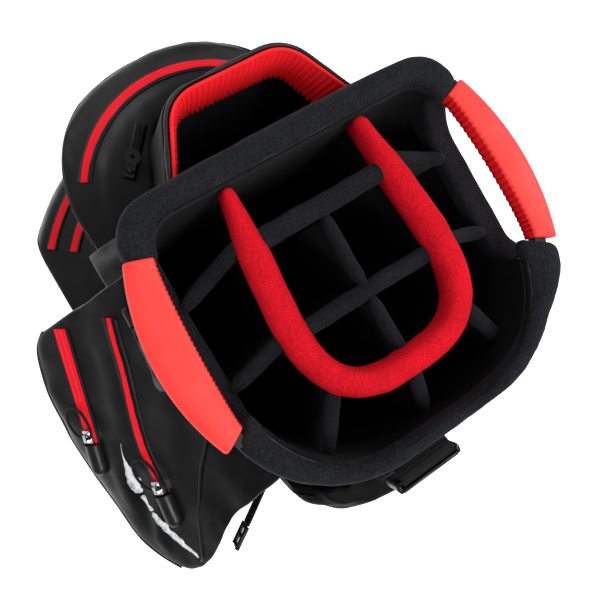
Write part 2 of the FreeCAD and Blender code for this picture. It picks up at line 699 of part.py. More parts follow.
def umbrella_loop():
    """Long moulded loop that folds out from the collar on its own pin."""
    t, n = LOOP_PIN
    plate = box(2.0, 23.5, -52.0, 20.0, 3.0, 7.0)
    plate = plate.makeFillet(7.5, [e for e in plate.Edges if e.BoundBox.ZLength > 3])
    plate = plate.cut(box(9.0, 19.5, -44.0, 12.0, 0, 10))
    for a, b in LUG_SPANS:
        plate = plate.cut(box(0, 9.1, a - 1.0, b + 1.0, 0, 10))
    pin = Part.makeCylinder(LOOP_PIN_RADIUS, 44.0, V(t, -38.0, n), V(0, 1, 0))
    return on_slope(plate.fuse(pin).removeSplitter())


def umbrella_bracket():
    """Two lugs on one foot that carry the umbrella loop's pin."""
    t, n = LOOP_PIN
    foot = box(-6.0, 1.4, -40.0, 8.0, 0.0, 1.6)
    lugs = [box(-3.0, 8.5, a, b, 0.0, 8.5) for a, b in LUG_SPANS]
    bracket = foot.fuse(lugs)
    bore = Part.makeCylinder(LOOP_PIN_RADIUS + 0.06, 60.0, V(t, -50.0, n), V(0, 1, 0))
    return on_slope(bracket.cut(bore).removeSplitter())


# ---- shoulder strap and its webbing ------------------------------------------------------------------------
WEB_THICK = 2.0
WEB_X = (0.0, 50.0)
WEB_Y = 175.0
BUCKLE_DROP = (31.6, 55.6)

PAD_SECTIONS = [             # (drop, middle x, middle y, half width, turn in degrees, radius of its bend)
    (106.0, 25.0, 181.0, 25.0, 2.0, 400.0),
    (118.0, 60.0, 197.0, 44.0, 21.0, 100.0),
    (142.0, 82.0, 195.0, 50.0, 33.0, 90.0),
    (190.0, 84.0, 194.0, 50.0, 35.0, 90.0),
    (290.0, 82.0, 186.0, 44.0, 35.0, 95.0),
    (420.0, 74.0, 173.0, 38.0, 28.0, 130.0),
    (500.0, 58.0, 164.0, 26.0, 14.0, 400.0),
]
PAD_THICK = 14.0


def flat_section(drop, x, y, half, turn, thick, bend=None):
    """Level strip, turned in plan; with a bend radius its ends curve in towards the bag."""
    c, s = math.cos(math.radians(turn)), math.sin(math.radians(turn))
    places = [half * k / 4 for k in range(-4, 5)] if bend else [-half, half]

    def side(b):
        return [(a, b - (bend - math.sqrt(bend ** 2 - a ** 2) if bend else 0.0)) for a in places]

    corners = side(-thick / 2) + side(thick / 2)[::-1]
    pts = [V(x + a * c + b * s, y - a * s + b * c, rim(drop)) for a, b in corners]
    return Part.makePolygon(pts + pts[:1])


def shoulder_strap():
    """Padded part of the carrying strap, bent round the right rear corner."""
    sections = [flat_section(*row[:5], PAD_THICK, row[5]) for row in PAD_SECTIONS]
    return Part.makeLoft(sections, True, True)


def strap_webbing():
    """Webbing over the buckle, the lower webbing of the strap, and the tab behind the right pocket."""
    x0, x1 = WEB_X
    collar_y = RIM_BACK - 3.0 + 0.1
    side = [(collar_y, 58), (collar_y + WEB_THICK, 58), (collar_y + WEB_THICK, 45), (WEB_Y - 6, 31),
            (WEB_Y - WEB_THICK / 2, 31), (WEB_Y - WEB_THICK / 2, 105.9), (WEB_Y + WEB_THICK / 2, 105.9),
            (WEB_Y + WEB_THICK / 2, 28.7), (WEB_Y - 6.5, 28.7), (collar_y, 43.8)]
    wire = Part.makePolygon([V(x0, y, rim(d)) for y, d in side + side[:1]])
    upper = Part.Face(wire).extrude(V(x1 - x0, 0, 0))
    lower = Part.makeLoft([flat_section(500.1, 58, 164, 20, 14, WEB_THICK),
                           flat_section(600.0, 34, SHELL_BACK + 1.3, 20, 0, WEB_THICK),
                           flat_section(640.0, 30, SHELL_BACK + 1.3, 20, 0, WEB_THICK)], True, True)
    return Part.makeCompound([upper, lower, tab_webbing()])


def strap_buckle():
    """Ladder buckle that slides on the upper webbing."""
    x0, x1 = WEB_X
    frame = box(x0 - 4, x1 + 4, WEB_Y - 4.5, WEB_Y + 4.5, rim(BUCKLE_DROP[1]), rim(BUCKLE_DROP[0]))
    frame = frame.makeFillet(2.0, [e for e in frame.Edges if e.BoundBox.XLength > 50])
    return frame.cut(box(x0 - 0.4, x1 + 0.4, WEB_Y - 1.4, WEB_Y + 1.4, 0, RIM_Z))


TAB_START = (111.5, 117.5)
TAB_END = (166.0, 152.0)
TAB_DROP = (92.0, 114.0)


def tab_frame():
    start, end = V(*TAB_START, 0), V(*TAB_END, 0)
    along = (end - start).normalize()
    return start, end, along, V(-along.y, along.x, 0)


def tab_webbing():
    """Short webbing tab sewn to the rear seam."""
    start, end, along, across = tab_frame()
    ribbon = box(0, (end - start).Length, -0.9, 0.9, rim(TAB_DROP[1]), rim(TAB_DROP[0]))
    return placed(ribbon, start, along, across, V(0, 0, 1))


def tab_buckle():
    """Small ladder buckle that swings on the end of the tab."""
    _, end, along, across = tab_frame()
    frame = box(1.2, 22.0, -3.0, 3.0, rim(TAB_DROP[1] + 2), rim(TAB_DROP[0] - 2))
    for x in (5.0, 14.0):
        frame = frame.cut(box(x, x + 3.5, -5, 5, rim(TAB_DROP[1] - 2), rim(TAB_DROP[0] + 2)))
    return placed(frame, end, along, across, V(0, 0, 1))


# ---- run ---------------------------------------------------------------------------------------------
def zip_nodes():
    """Every zip with its slider and pull; the left pocket's repeat the right one's."""
    nodes = {}
    tapes = {"outer": straight_zip(OUTER_ZIP, TAPE_HALF), "inner": curved_zip()}
    cord = cord_tube(LOOP_ROUTE)
    for name, (spot, along) in parked_sliders().items():
        right = {
            "zip_" + name: on_slope(tapes[name]),
            "slider_" + name: on_slope(along_zip(slider(False), spot, along)),
            "cord_" + name: on_slope(along_zip(cord, spot, along)),
        }
        for node, shape in right.items():
            nodes[node + "_right"] = shape
            nodes[node + "_left"] = on_left_pocket(shape)
    for name in FRONT_ZIPS:
        nodes["zip_" + name] = front_zip(name)
        nodes["slider_" + name] = on_shoulder(slider(True), name)
        nodes["pull_" + name] = on_shoulder(pull_tab(), name)
    start, end, along = line_of(VALUABLES_ZIP)
    level = V(0, 0, rim(UPPER_POCKET_TOP))
    parked = end - along * END_MARGIN + level
    tape = straight_zip(VALUABLES_ZIP, 5.0)
    tape.translate(level)
    nodes["zip_valuables"] = tape
    nodes["slider_valuables"] = along_zip(slider(True), parked, along * -1)
    nodes["pull_ring_valuables"] = along_zip(pull_ring(), parked, along * -1)
    return nodes


def joint_facts():
    """Print the axes that the joints use, in metres."""
    frame = slope_placement()
    start, end, along = line_of(OUTER_ZIP)
    print("outer slide axis", frame.Rotation.multVec(along), "travel", (end - start).Length - 2 * END_MARGIN)
    centre, radius, first, sweep = inner_zip_arc()
    print("inner hinge at", frame.multVec(centre), "sweep", sweep,
          "margin", math.degrees(END_MARGIN / radius))
    for name in FRONT_ZIPS:
        line, radius, _, angle, half_sweep = shoulder_frame(name)
        place = on_shoulder(Part.Vertex(0, 0, PIN_HEIGHT), name)
        turn = math.radians(-half_sweep) + END_MARGIN / radius
        across = V(math.sin(turn) * math.cos(angle), -math.cos(turn) * math.cos(angle), -math.sin(angle))
        print(name, "turns about", line, "pin at", place.Point, "axis", across)
        print(name, "travel", 2 * (half_sweep - math.degrees(END_MARGIN / radius)))
    start, end, along = line_of(VALUABLES_ZIP)
    pin = end - along * END_MARGIN + V(0, 0, rim(UPPER_POCKET_TOP) + PIN_HEIGHT)
    print("valuables axis", along, "pin at", pin, "travel", (end - start).Length - 2 * END_MARGIN)
    print("umbrella pin at", frame.multVec(V(LOOP_PIN[0], -16, LOOP_PIN[1])))


def main():
    os.makedirs("parts", exist_ok=True)
    nodes = {
        "top_collar": top_collar(),
        "rim_pad_front": rim_pad(True),
        "rim_pad_rear": rim_pad(False),
        "lift_grip_right": grip(True),
        "lift_grip_left": grip(False),
        "u_divider_panel": u_band(PANEL, FLOOR_Z + 1, rim(U_PAD_HEIGHT + 0.1)),
        "u_divider_pad": u_band(U_PAD_WIDTH, rim(U_PAD_HEIGHT), RIM_Z),
        **inner_dividers(),
        **radial_dividers(),
        "putter_well_liner": putter_well_liner(),
        "putter_well_casing": putter_well_casing(),
        "putter_tube": putter_tube(),
        "body_shell": body_shell(),
        "base_moulding": base_moulding(),
        "base_tread": base_tread(),
        "stay_rods": stay_rods(),
        "base_rivets": base_rivets(),
        "front_upper_pocket": front_upper_pocket(),
        "front_lower_pocket": front_lower_pocket(),
        "side_pocket_right": side_pocket(0.0),
        "side_pocket_left": mirrored(side_pocket(LEFT_POCKET_LOWER)),
        "zip_garages": zip_garages(),
        **zip_nodes(),
        "umbrella_loop": umbrella_loop(),
        "umbrella_bracket": umbrella_bracket(),
        "shoulder_strap": shoulder_strap(),
        "strap_webbing": strap_webbing(),
        "strap_buckle": strap_buckle(),
        "tab_buckle": tab_buckle(),
    }
    for name, shape in nodes.items():
        shape.exportStep("parts/" + name + ".step")
        print(name, "solids", len(shape.Solids), "valid", shape.isValid(), "volume", round(shape.Volume))
    joint_facts()
    print(len(nodes), "nodes")


main()
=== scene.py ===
"""Cart-style golf bag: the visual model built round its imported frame. Lengths are in millimetres."""
import math

import bmesh
import bpy
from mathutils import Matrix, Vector, noise
from mathutils.bvhtree import BVHTree


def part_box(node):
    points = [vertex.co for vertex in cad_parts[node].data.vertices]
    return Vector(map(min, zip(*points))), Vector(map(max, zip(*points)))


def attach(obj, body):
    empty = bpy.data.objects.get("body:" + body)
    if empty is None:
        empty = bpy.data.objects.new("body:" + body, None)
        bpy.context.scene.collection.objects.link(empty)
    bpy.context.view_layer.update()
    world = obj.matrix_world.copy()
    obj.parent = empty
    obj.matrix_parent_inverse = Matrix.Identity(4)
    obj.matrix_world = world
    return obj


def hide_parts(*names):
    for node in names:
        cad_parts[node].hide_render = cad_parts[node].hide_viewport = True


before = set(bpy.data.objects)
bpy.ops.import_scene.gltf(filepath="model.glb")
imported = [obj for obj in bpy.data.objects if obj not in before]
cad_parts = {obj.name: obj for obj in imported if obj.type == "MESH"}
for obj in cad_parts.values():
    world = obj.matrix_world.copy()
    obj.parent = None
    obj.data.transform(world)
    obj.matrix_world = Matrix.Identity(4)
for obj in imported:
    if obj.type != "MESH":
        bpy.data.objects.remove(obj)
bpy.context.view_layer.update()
MM = 0.001
RIM_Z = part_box("rim_pad_rear")[1].z
SIDES = {"right": 1, "left": -1}
SIDE_ZIPS = ("outer", "inner")
UP = Vector((0, 0, 1))
WAVES_PER_UNIT = 3.1831     # bands of a wave texture in one unit at scale 1
SIM_FRAMES = 20


def at(x, y, drop):
    """Point in metres from plan millimetres and a drop below the rim."""
    return Vector((x * MM, y * MM, RIM_Z - drop * MM))


# ---- camera ----------------------------------------------------------------------------------
CAMERA_PLACE = at(145.7, -19.2, -393.2)
CAMERA_TURN = (3.46, -13.365, 148.634)      # degrees about X, Y and Z
camera_data = bpy.data.cameras.new("camera")
camera_data.sensor_width = 36.0
camera_data.lens = 35.04
camera_data.clip_start = 0.01
camera = bpy.data.objects.new("camera", camera_data)
camera.location = CAMERA_PLACE
camera.rotation_euler = [math.radians(a) for a in CAMERA_TURN]
bpy.context.scene.collection.objects.link(camera)
bpy.context.scene.camera = camera


# ---- materials -------------------------------------------------------------------------------
class Finish:
    """A material with short ways to wire its nodes."""

    def __init__(self, name, rough, **sockets):
        self.material = bpy.data.materials.new(name)
        self.material.use_nodes = True
        self.tree = self.material.node_tree
        self.shader = self.tree.nodes["Principled BSDF"]
        self.shader.inputs["Roughness"].default_value = rough
        for socket, value in sockets.items():
            self.shader.inputs[socket.replace("_", " ")].default_value = value
        self.place = self.node("ShaderNodeTexCoord").outputs["Object"]

    def node(self, kind, **values):
        made = self.tree.nodes.new(kind)
        for key, value in values.items():
            setattr(made, key, value)
        return made

    def wire(self, source, target):
        self.tree.links.new(source, target)

    def turned(self, angles):
        mapping = self.node("ShaderNodeMapping")
        mapping.inputs["Rotation"].default_value = [math.radians(a) for a in angles]
        self.wire(self.place, mapping.inputs["Vector"])
        return mapping.outputs["Vector"]

    def noise(self, size_mm, detail=3.0, rough=0.55):
        made = self.node("ShaderNodeTexNoise")
        made.inputs["Scale"].default_value = 1000.0 / size_mm
        made.inputs["Detail"].default_value = detail
        made.inputs["Roughness"].default_value = rough
        self.wire(self.place, made.inputs["Vector"])
        return made.outputs["Fac"]

    def cells(self, size_mm, randomness, place):
        made = self.node("ShaderNodeTexVoronoi", feature="F1")
        made.inputs["Scale"].default_value = 1000.0 / size_mm
        made.inputs["Randomness"].default_value = randomness
        self.wire(place, made.inputs["Vector"])
        return made.outputs["Distance"]

    def waves(self, size_mm, direction, place=None):
        made = self.node("ShaderNodeTexWave", wave_type="BANDS", bands_direction=direction)
        made.inputs["Scale"].default_value = 1000.0 / size_mm / WAVES_PER_UNIT
        self.wire(place or self.place, made.inputs["Vector"])
        return made.outputs["Fac"]

    def math(self, operation, a, b):
        made = self.node("ShaderNodeMath", operation=operation)
        for socket, value in zip(made.inputs, (a, b)):
            if isinstance(value, (int, float)):
                socket.default_value = value
            else:
                self.wire(value, socket)
        return made.outputs[0]

    def spread(self, value, low, high, to_low, to_high):
        made = self.node("ShaderNodeMapRange")
        for socket, number in zip(("From Min", "From Max", "To Min", "To Max"), (low, high, to_low, to_high)):
            made.inputs[socket].default_value = number
        self.wire(value, made.inputs["Value"])
        return made.outputs["Result"]

    def colours(self, value, stops):
        ramp = self.node("ShaderNodeValToRGB")
        elements = ramp.color_ramp.elements
        while len(elements) < len(stops):
            elements.new(0.5)
        for element, (position, colour) in zip(elements, stops):
            element.position = position
            element.color = (*colour, 1.0)
        self.wire(value, ramp.inputs["Fac"])
        self.wire(ramp.outputs["Color"], self.shader.inputs["Base Color"])

    def roughness(self, value, low, high):
        self.wire(self.spread(value, 0.3, 0.7, low, high), self.shader.inputs["Roughness"])

    def bump(self, *layers):
        """Bump from (value, depth in mm, strength) layers, the last one on top."""
        normal = None
        for value, depth, strength in layers:
            made = self.node("ShaderNodeBump")
            made.inputs["Distance"].default_value = depth * MM
            made.inputs["Strength"].default_value = strength
            self.wire(value, made.inputs["Height"])
            if normal is not None:
                self.wire(normal, made.inputs["Normal"])
            normal = made.outputs["Normal"]
        self.wire(normal, self.shader.inputs["Normal"])


def mesh_fabric(name, dark, light, sheen):
    """Spacer mesh: a close diagonal lattice of small openings."""
    finish = Finish(name, 0.85, Sheen_Weight=sheen, Sheen_Roughness=0.5, Specular_IOR_Level=0.12)
    lattice = finish.cells(1.9, 0.45, finish.turned((45, 35, 45)))
    fuzz = finish.noise(2.6, 3.0, 0.7)
    weave = finish.math("ADD", finish.math("MULTIPLY", lattice, 0.45), finish.math("MULTIPLY", fuzz, 0.7))
    blotch = finish.noise(38.0, 2.0)
    shade = finish.math("ADD", finish.math("MULTIPLY", weave, 0.75), finish.math("MULTIPLY", blotch, 0.3))
    finish.colours(shade, [(0.35, dark), (0.8, light)])
    finish.bump((blotch, 1.5, 0.4), (weave, 0.5, 0.7))
    return finish.material


def coated_fabric(name, dark, light, rough, weave_mm=0.7, shine=0.3):
    """Smooth coated fabric with a fine weave and soft creases."""
    finish = Finish(name, 0.45, Specular_IOR_Level=shine)
    weave = finish.math("MULTIPLY", finish.waves(weave_mm, "X", finish.turned((20, 30, 45))),
                        finish.waves(weave_mm, "Y", finish.turned((20, 30, 45))))
    creases = finish.noise(26.0, 4.0, 0.6)
    finish.colours(finish.noise(70.0, 3.0), [(0.3, dark), (0.75, light)])
    finish.roughness(creases, rough - 0.06, rough + 0.08)
    finish.bump((finish.noise(60.0, 2.0, 0.4), 7.0, 0.5), (creases, 1.2, 0.35), (weave, 0.06, 0.4))
    return finish.material


def moulded(name, dark, light, rough, grain_mm=0.8, grain=0.04, coat=0.0, shine=0.3):
    """Moulded plastic or rubber with a fine grain."""
    finish = Finish(name, rough, Coat_Weight=coat, Coat_Roughness=0.15, Specular_IOR_Level=shine)
    cloud = finish.noise(30.0, 3.0)
    finish.colours(cloud, [(0.3, dark), (0.7, light)])
    finish.roughness(finish.noise(12.0, 3.0), rough - 0.05, rough + 0.07)
    finish.bump((finish.noise(grain_mm, 2.0), grain, 0.6))
    return finish.material


def webbing_cloth(name, dark, light):
    """Woven strap: ribs across and a fine warp."""
    finish = Finish(name, 0.7, Specular_IOR_Level=0.2)
    ribs = finish.math("MULTIPLY", finish.waves(1.6, "Z"), finish.waves(1.1, "DIAGONAL"))
    finish.colours(ribs, [(0.1, dark), (0.9, light)])
    finish.bump((ribs, 0.35, 0.8))
    return finish.material


def zip_cloth(name, dark, light):
    finish = Finish(name, 0.5, Specular_IOR_Level=0.12)
    weave = finish.math("MULTIPLY", finish.waves(0.9, "X"), finish.waves(0.9, "Y"))
    finish.colours(finish.math("ADD", finish.math("MULTIPLY", weave, 0.2), finish.noise(14.0)),
                   [(0.3, dark), (0.8, light)])
    finish.bump((finish.noise(12.0, 3.0), 0.8, 0.3), (weave, 0.06, 0.4))
    return finish.material


def metal(name, colour, rough, wear):
    finish = Finish(name, rough, Metallic=1.0)
    finish.colours(finish.noise(4.0, 4.0), [(0.3, tuple(c * wear for c in colour)), (0.65, colour)])
    finish.roughness(finish.noise(2.5, 3.0), rough - 0.05, rough + 0.12)
    finish.bump((finish.noise(0.7, 2.0), 0.01, 0.4))
    return finish.material


def cord_cloth(name):
    finish = Finish(name, 0.62, Specular_IOR_Level=0.2)
    braid = finish.cells(0.8, 0.2, finish.turned((45, 45, 0)))
    finish.colours(braid, [(0.2, (0.012, 0.0125, 0.014)), (0.8, (0.002, 0.002, 0.0025))])
    finish.bump((braid, 0.15, 0.8))
    return finish.material


def flecked_print(name):
    """Worn white print."""
    finish = Finish(name, 0.4)
    finish.colours(finish.noise(5.0, 4.0, 0.7), [(0.35, (0.35, 0.36, 0.38)), (0.5, (0.82, 0.83, 0.85))])
    finish.bump((finish.noise(1.2), 0.03, 0.5))
    return finish.material


MATERIALS = {
    "mesh_black": mesh_fabric("mesh_black", (0.0007, 0.0008, 0.0011), (0.0175, 0.0183, 0.0225), 0.03),
    "mesh_crimson": mesh_fabric("mesh_crimson", (0.34, 0.0015, 0.006), (0.74, 0.005, 0.018), 0.0),
    "lining": mesh_fabric("lining", (0.0009, 0.0010, 0.0012), (0.006, 0.0062, 0.0075), 0.02),
    "divider": mesh_fabric("divider", (0.0014, 0.0015, 0.0019), (0.012, 0.0125, 0.015), 0.03),
    "coated": coated_fabric("coated", (0.0024, 0.0025, 0.0031), (0.0066, 0.0070, 0.0086), 0.38, shine=0.24),
    # the same coated fabric painted darker: painted shade on the side pockets' leaning tops and their zip lips
    "coated_shaded_side": coated_fabric("coated_shaded_side", (0.0012, 0.0013, 0.0017), (0.0040, 0.0043, 0.0054), 0.42,
                                 shine=0.14),
    "coated_casing": coated_fabric("coated_casing", (0.009, 0.009, 0.0105), (0.017, 0.0172, 0.0195), 0.45),
    "pad_cloth": coated_fabric("pad_cloth", (0.0010, 0.0010, 0.0012), (0.0026, 0.0027, 0.0032), 0.6, 1.1, 0.1),
    "coated_shell": coated_fabric("coated_shell", (0.0022, 0.0023, 0.0027), (0.005, 0.0052, 0.006), 0.5),
    "piping": moulded("piping", (0.0012, 0.0012, 0.0014), (0.003, 0.003, 0.0034), 0.45, 1.5, 0.05),
    "grip": moulded("grip", (0.96, 0.046, 0.040), (1.0, 0.060, 0.052), 0.46, 0.7, 0.03, 0.0, 0.2),
    # darker red for the grip's inner, toothed face: painted shade on the same rubber as the grip
    "grip_teeth_shade": moulded("grip_teeth_shade", (0.60, 0.008, 0.012), (0.70, 0.012, 0.014), 0.6, 0.7, 0.03, 0.0, 0.1),
    "liner": moulded("liner", (1.0, 0.016, 0.024), (1.0, 0.022, 0.03), 0.45, 0.9, 0.03, 0.0, 0.1),
    "rubber": moulded("rubber", (0.004, 0.004, 0.0045), (0.008, 0.008, 0.009), 0.33, 0.9, 0.04),
    "plastic": moulded("plastic", (0.0035, 0.0036, 0.004), (0.007, 0.007, 0.008), 0.36, 0.6, 0.015, 0.1, 0.35),
    "base": moulded("base", (0.005, 0.005, 0.0055), (0.010, 0.010, 0.011), 0.55, 1.2, 0.12),
    "tread": moulded("tread", (0.006, 0.006, 0.006), (0.012, 0.012, 0.012), 0.8, 1.5, 0.15),
    "web": webbing_cloth("web", (0.0015, 0.0015, 0.002), (0.010, 0.0105, 0.012)),
    "zip_red": zip_cloth("zip_red", (0.86, 0.003, 0.014), (0.98, 0.006, 0.022)),
    "zip_black": zip_cloth("zip_black", (0.002, 0.002, 0.0025), (0.008, 0.008, 0.009)),
    "chrome": metal("chrome", (0.78, 0.79, 0.81), 0.2, 0.6),
    "alloy": metal("alloy", (0.55, 0.56, 0.58), 0.35, 0.7),
    "dark_metal": metal("dark_metal", (0.05, 0.05, 0.055), 0.3, 0.6),
    "cord": cord_cloth("cord"),
    "print": flecked_print("print"),
    "thread": moulded("thread", (0.006, 0.006, 0.007), (0.016, 0.016, 0.018), 0.7, 0.5, 0.1, 0.0, 0.1),
}


# ---- mesh helpers ----------------------------------------------------------------------------
def new_piece(name, verts, faces, material, body, replaces=()):
    data = bpy.data.meshes.new(name)
    data.from_pydata([tuple(v) for v in verts], [], faces)
    data.validate()
    data.update()
    data.polygons.foreach_set("use_smooth", [True] * len(data.polygons))
    obj = bpy.data.objects.new(name, data)
    bpy.context.scene.collection.objects.link(obj)
    data.materials.append(MATERIALS[material])
    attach(obj, body)
    if replaces:
        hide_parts(*replaces)
    return obj


def loft_faces(rows, count, closed_path):
    faces = []
    for i in range(rows if closed_path else rows - 1):
        a, b = i * count, (i + 1) % rows * count
        for j in range(count):
            k = (j + 1) % count
            faces.append((a + j, a + k, b + k, b + j))
    if not closed_path:
        faces.append(tuple(reversed(range(count))))
        faces.append(tuple((rows - 1) * count + j for j in range(count)))
    return faces


def loft(name, rings, material, body, replaces=(), closed_path=False):
    """Closed form through rings of points; its ends are capped unless the path closes."""
    verts = [p for ring in rings for p in ring]
    faces = loft_faces(len(rings), len(rings[0]), closed_path)
    obj = new_piece(name, verts, faces, material, body, replaces)
    outward(obj)
    return obj


def outward(obj):
    """Make every face look outwards."""
    bm = bmesh.new()
    bm.from_mesh(obj.data)
    bmesh.ops.recalc_face_normals(bm, faces=bm.faces)
    bm.to_mesh(obj.data)
    bm.free()


def baked(obj):
    """Apply the modifiers of a piece."""
    bpy.context.view_layer.update()
    graph = bpy.context.evaluated_depsgraph_get()
    data = bpy.data.meshes.new_from_object(obj.evaluated_get(graph))
    obj.modifiers.clear()
    obj.data = data
    return obj


def subdivided(obj):
    modifier = obj.modifiers.new("smooth", "SUBSURF")
    modifier.levels = modifier.render_levels = 1
    return baked(obj)


def crumple(obj, size, depth, seed, keep=None):
    """Move points along their normals by a fixed noise; keep(point) from 0 to 1 says how much."""
    normals = [v.normal.copy() for v in obj.data.vertices]
    offset = Vector((seed * 13.7, seed * 5.1, seed * 9.3))
    for vertex, normal in zip(obj.data.vertices, normals):
        place = vertex.co / (size * MM) + offset
        move = noise.noise(place) + 0.45 * noise.noise(place * 2.3)
        share = keep(vertex.co) if keep else 1.0
        vertex.co += normal * (move * depth * MM * share)
    obj.data.update()
    return obj


def puff(obj, voxel, pressure, cap, seed=1):
    """Remesh a closed form and let cloth pressure fill it; no point moves further than cap millimetres."""
    remesh = obj.modifiers.new("remesh", "REMESH")
    remesh.mode = "VOXEL"
    remesh.voxel_size = voxel * MM
    baked(obj)
    crumple(obj, 14.0, 0.7, seed)
    start = [v.co.copy() for v in obj.data.vertices]
    cloth = obj.modifiers.new("cloth", "CLOTH")
    settings = cloth.settings
    settings.quality = 6
    settings.mass = 0.25
    settings.tension_stiffness = 18
    settings.compression_stiffness = 14
    settings.shear_stiffness = 6
    settings.bending_stiffness = 0.4
    settings.use_pressure = True
    settings.uniform_pressure_force = pressure
    settings.effector_weights.gravity = 0
    cloth.point_cache.frame_start = 1
    cloth.point_cache.frame_end = SIM_FRAMES
    for step in range(1, SIM_FRAMES + 1):
        bpy.context.scene.frame_set(step)
    baked(obj)
    bpy.context.scene.frame_set(1)
    for vertex, before in zip(obj.data.vertices, start):
        move = vertex.co - before
        if move.length > cap * MM:
            vertex.co = before + move.normalized() * (cap * MM)
    subdivided(obj)
    obj.data.polygons.foreach_set("use_smooth", [True] * len(obj.data.polygons))
    return obj


def flat(points):
    """Plan points as vectors."""
    return [Vector((*p, 0)) for p in points]


def heading(points, i, closed=False):
    """Unit direction of travel at a point of a path."""
    count = len(points)
    before = points[(i - 1) % count] if closed or i else points[i]
    after = points[(i + 1) % count] if closed or i < count - 1 else points[i]
    return (after - before).normalized()


def right_of(along):
    """Direction in plan to the right of a direction of travel."""
    return Vector((along.y, -along.x, 0))


def beside(point, normal, out, drop):
    """Point at a distance in plan along a normal, and at a drop below the rim."""
    return at(point.x + normal.x * out, point.y + normal.y * out, drop)


def ripple(x, y, z):
    return noise.noise(Vector((x, y, z)))


def matched(points, count):
    """A number of points taken evenly from a list."""
    return [points[round(i * (len(points) - 1) / (count - 1))] for i in range(count)]


def rounding(inset, radius):
    """Drop of a rounded edge at an inset from its outside."""
    return radius * (1 - math.sqrt(max(0.0, 1 - (1 - min(1.0, inset / radius)) ** 2)))


def tube(name, points, radius, material, body, sides=8, replaces=()):
    """Round bead through a list of points."""
    rings = []
    for i, point in enumerate(points):
        along = heading(points, i)
        across = along.cross(UP)
        if across.length < 0.1:
            across = along.cross(Vector((0, 1, 0)))
        across.normalize()
        up = across.cross(along).normalized()
        rings.append([point + (across * math.cos(t) + up * math.sin(t)) * radius * MM
                      for t in (2 * math.pi * k / sides for k in range(sides))])
    return loft(name, rings, material, body, replaces)


def resampled(points, step, closed=False):
    """Evenly spaced points along a polyline."""
    points = [Vector(p) for p in points]
    if closed:
        points = points + points[:1]
    lengths = [0.0]
    for a, b in zip(points, points[1:]):
        lengths.append(lengths[-1] + (b - a).length)
    total = lengths[-1]
    count = max(2, round(total / step))
    out, k = [], 0
    for i in range(count if closed else count + 1):
        target = total * i / count
        while k < len(points) - 2 and lengths[k + 1] < target:
            k += 1
        span = lengths[k + 1] - lengths[k]
        out.append(points[k].lerp(points[k + 1], (target - lengths[k]) / span if span else 0.0))
    return out


def arc(cx, cy, radius, start, stop, count=10):
    turns = [math.radians(start + (stop - start) * i / count) for i in range(count + 1)]
    return [(cx + radius * math.cos(a), cy + radius * math.sin(a)) for a in turns]


def plan_outline(half_width, front, back, rf, rb):
    """Plan of the bag as a closed list of points, anticlockwise from the right end of the front."""
    w = half_width
    return (arc(w - rf, front + rf, rf, -90, 0) + arc(w - rb, back - rb, rb, 0, 90, 20)
            + arc(-w + rb, back - rb, rb, 90, 180, 20) + arc(-w + rf, front + rf, rf, 180, 270))


def rounded(points, radius, count=6):
    """Open polyline with its inner corners rounded."""
    out = [Vector((*points[0], 0))]
    for before, corner, after in zip(points, points[1:], points[2:]):
        c = Vector((*corner, 0))
        into, away = (Vector((*before, 0)) - c), (Vector((*after, 0)) - c)
        reach = min(radius, 0.45 * into.length, 0.45 * away.length)
        a, b = c + into.normalized() * reach, c + away.normalized() * reach
        for i in range(count + 1):
            t = i / count
            out.append(a.lerp(c, t).lerp(c.lerp(b, t), t))
    out.append(Vector((*points[-1], 0)))
    return out


def normals_of(points, closed):
    """Unit normals in plan, to the right of the direction of travel."""
    return [right_of(heading(points, i, closed)) for i in range(len(points))]


def reach_to(polygon, start, direction):
    """Distance in plan from a point along a direction to a closed polygon."""
    best = None
    for a, b in zip(polygon, polygon[1:] + polygon[:1]):
        ex, ey = b[0] - a[0], b[1] - a[1]
        det = direction.x * -ey + direction.y * ex
        if abs(det) < 1e-9:
            continue
        ox, oy = a[0] - start.x, a[1] - start.y
        t = (ox * -ey + oy * ex) / det
        s = (direction.x * oy - direction.y * ox) / det
        if t > 0 and -1e-6 <= s <= 1 + 1e-6 and (best is None or t < best):
            best = t
    return best


def smooth(value, low, high):
    t = min(1.0, max(0.0, (value - low) / (high - low)))
    return t * t * (3 - 2 * t)


RIM_PLAN = plan_outline(143, -106, 150, 34, 100)
WELL_PLAN = plan_outline(122, -87, 141, 24, 90)
SHELL_PLAN = plan_outline(138, -101, 145, 30, 96)
HANDLE = 73.0


# ---- cords -----------------------------------------------------------------------------------
LOOP_ROUTE = [(1.6, 0.0, 6.6), (6.2, 0.0, 6.6), (11.0, -2.0, 6.0), (15.6, -6.4, 5.3), (18.8, -12.8, 4.8),
              (18.6, -20.4, 4.5), (14.2, -26.8, 4.4), (6.8, -28.6, 4.5), (0.2, -24.8, 4.7), (-3.8, -18.2, 5.0),
              (-6.4, -11.6, 5.5), (-7.6, -5.2, 6.1), (-5.8, 0.0, 6.6), (-1.6, 0.0, 6.6)]
CORD_DIAMETER = 2.4
LEFT_LOWER = 75.0
SLOPE_X, SLOPE_DROP = 150.0, 60.0
OUTER_ZIP = ((88.0, -66.0), (130.0, 31.0))
INNER_ZIP = ((31.0, -51.0), (66.0, 25.0), (86.0, 96.0))
END_MARGIN = 7.0
DIAGONAL = math.sqrt(0.5)


def on_slope(t, s, n, side=1):
    """Point on a side pocket's leaning top: t down the slope, s along +Y, n off its face."""
    lower = 0.0 if side > 0 else LEFT_LOWER
    x = SLOPE_X + (t + n) * DIAGONAL
    return at(side * x, s, SLOPE_DROP + lower + (t - n) * DIAGONAL)


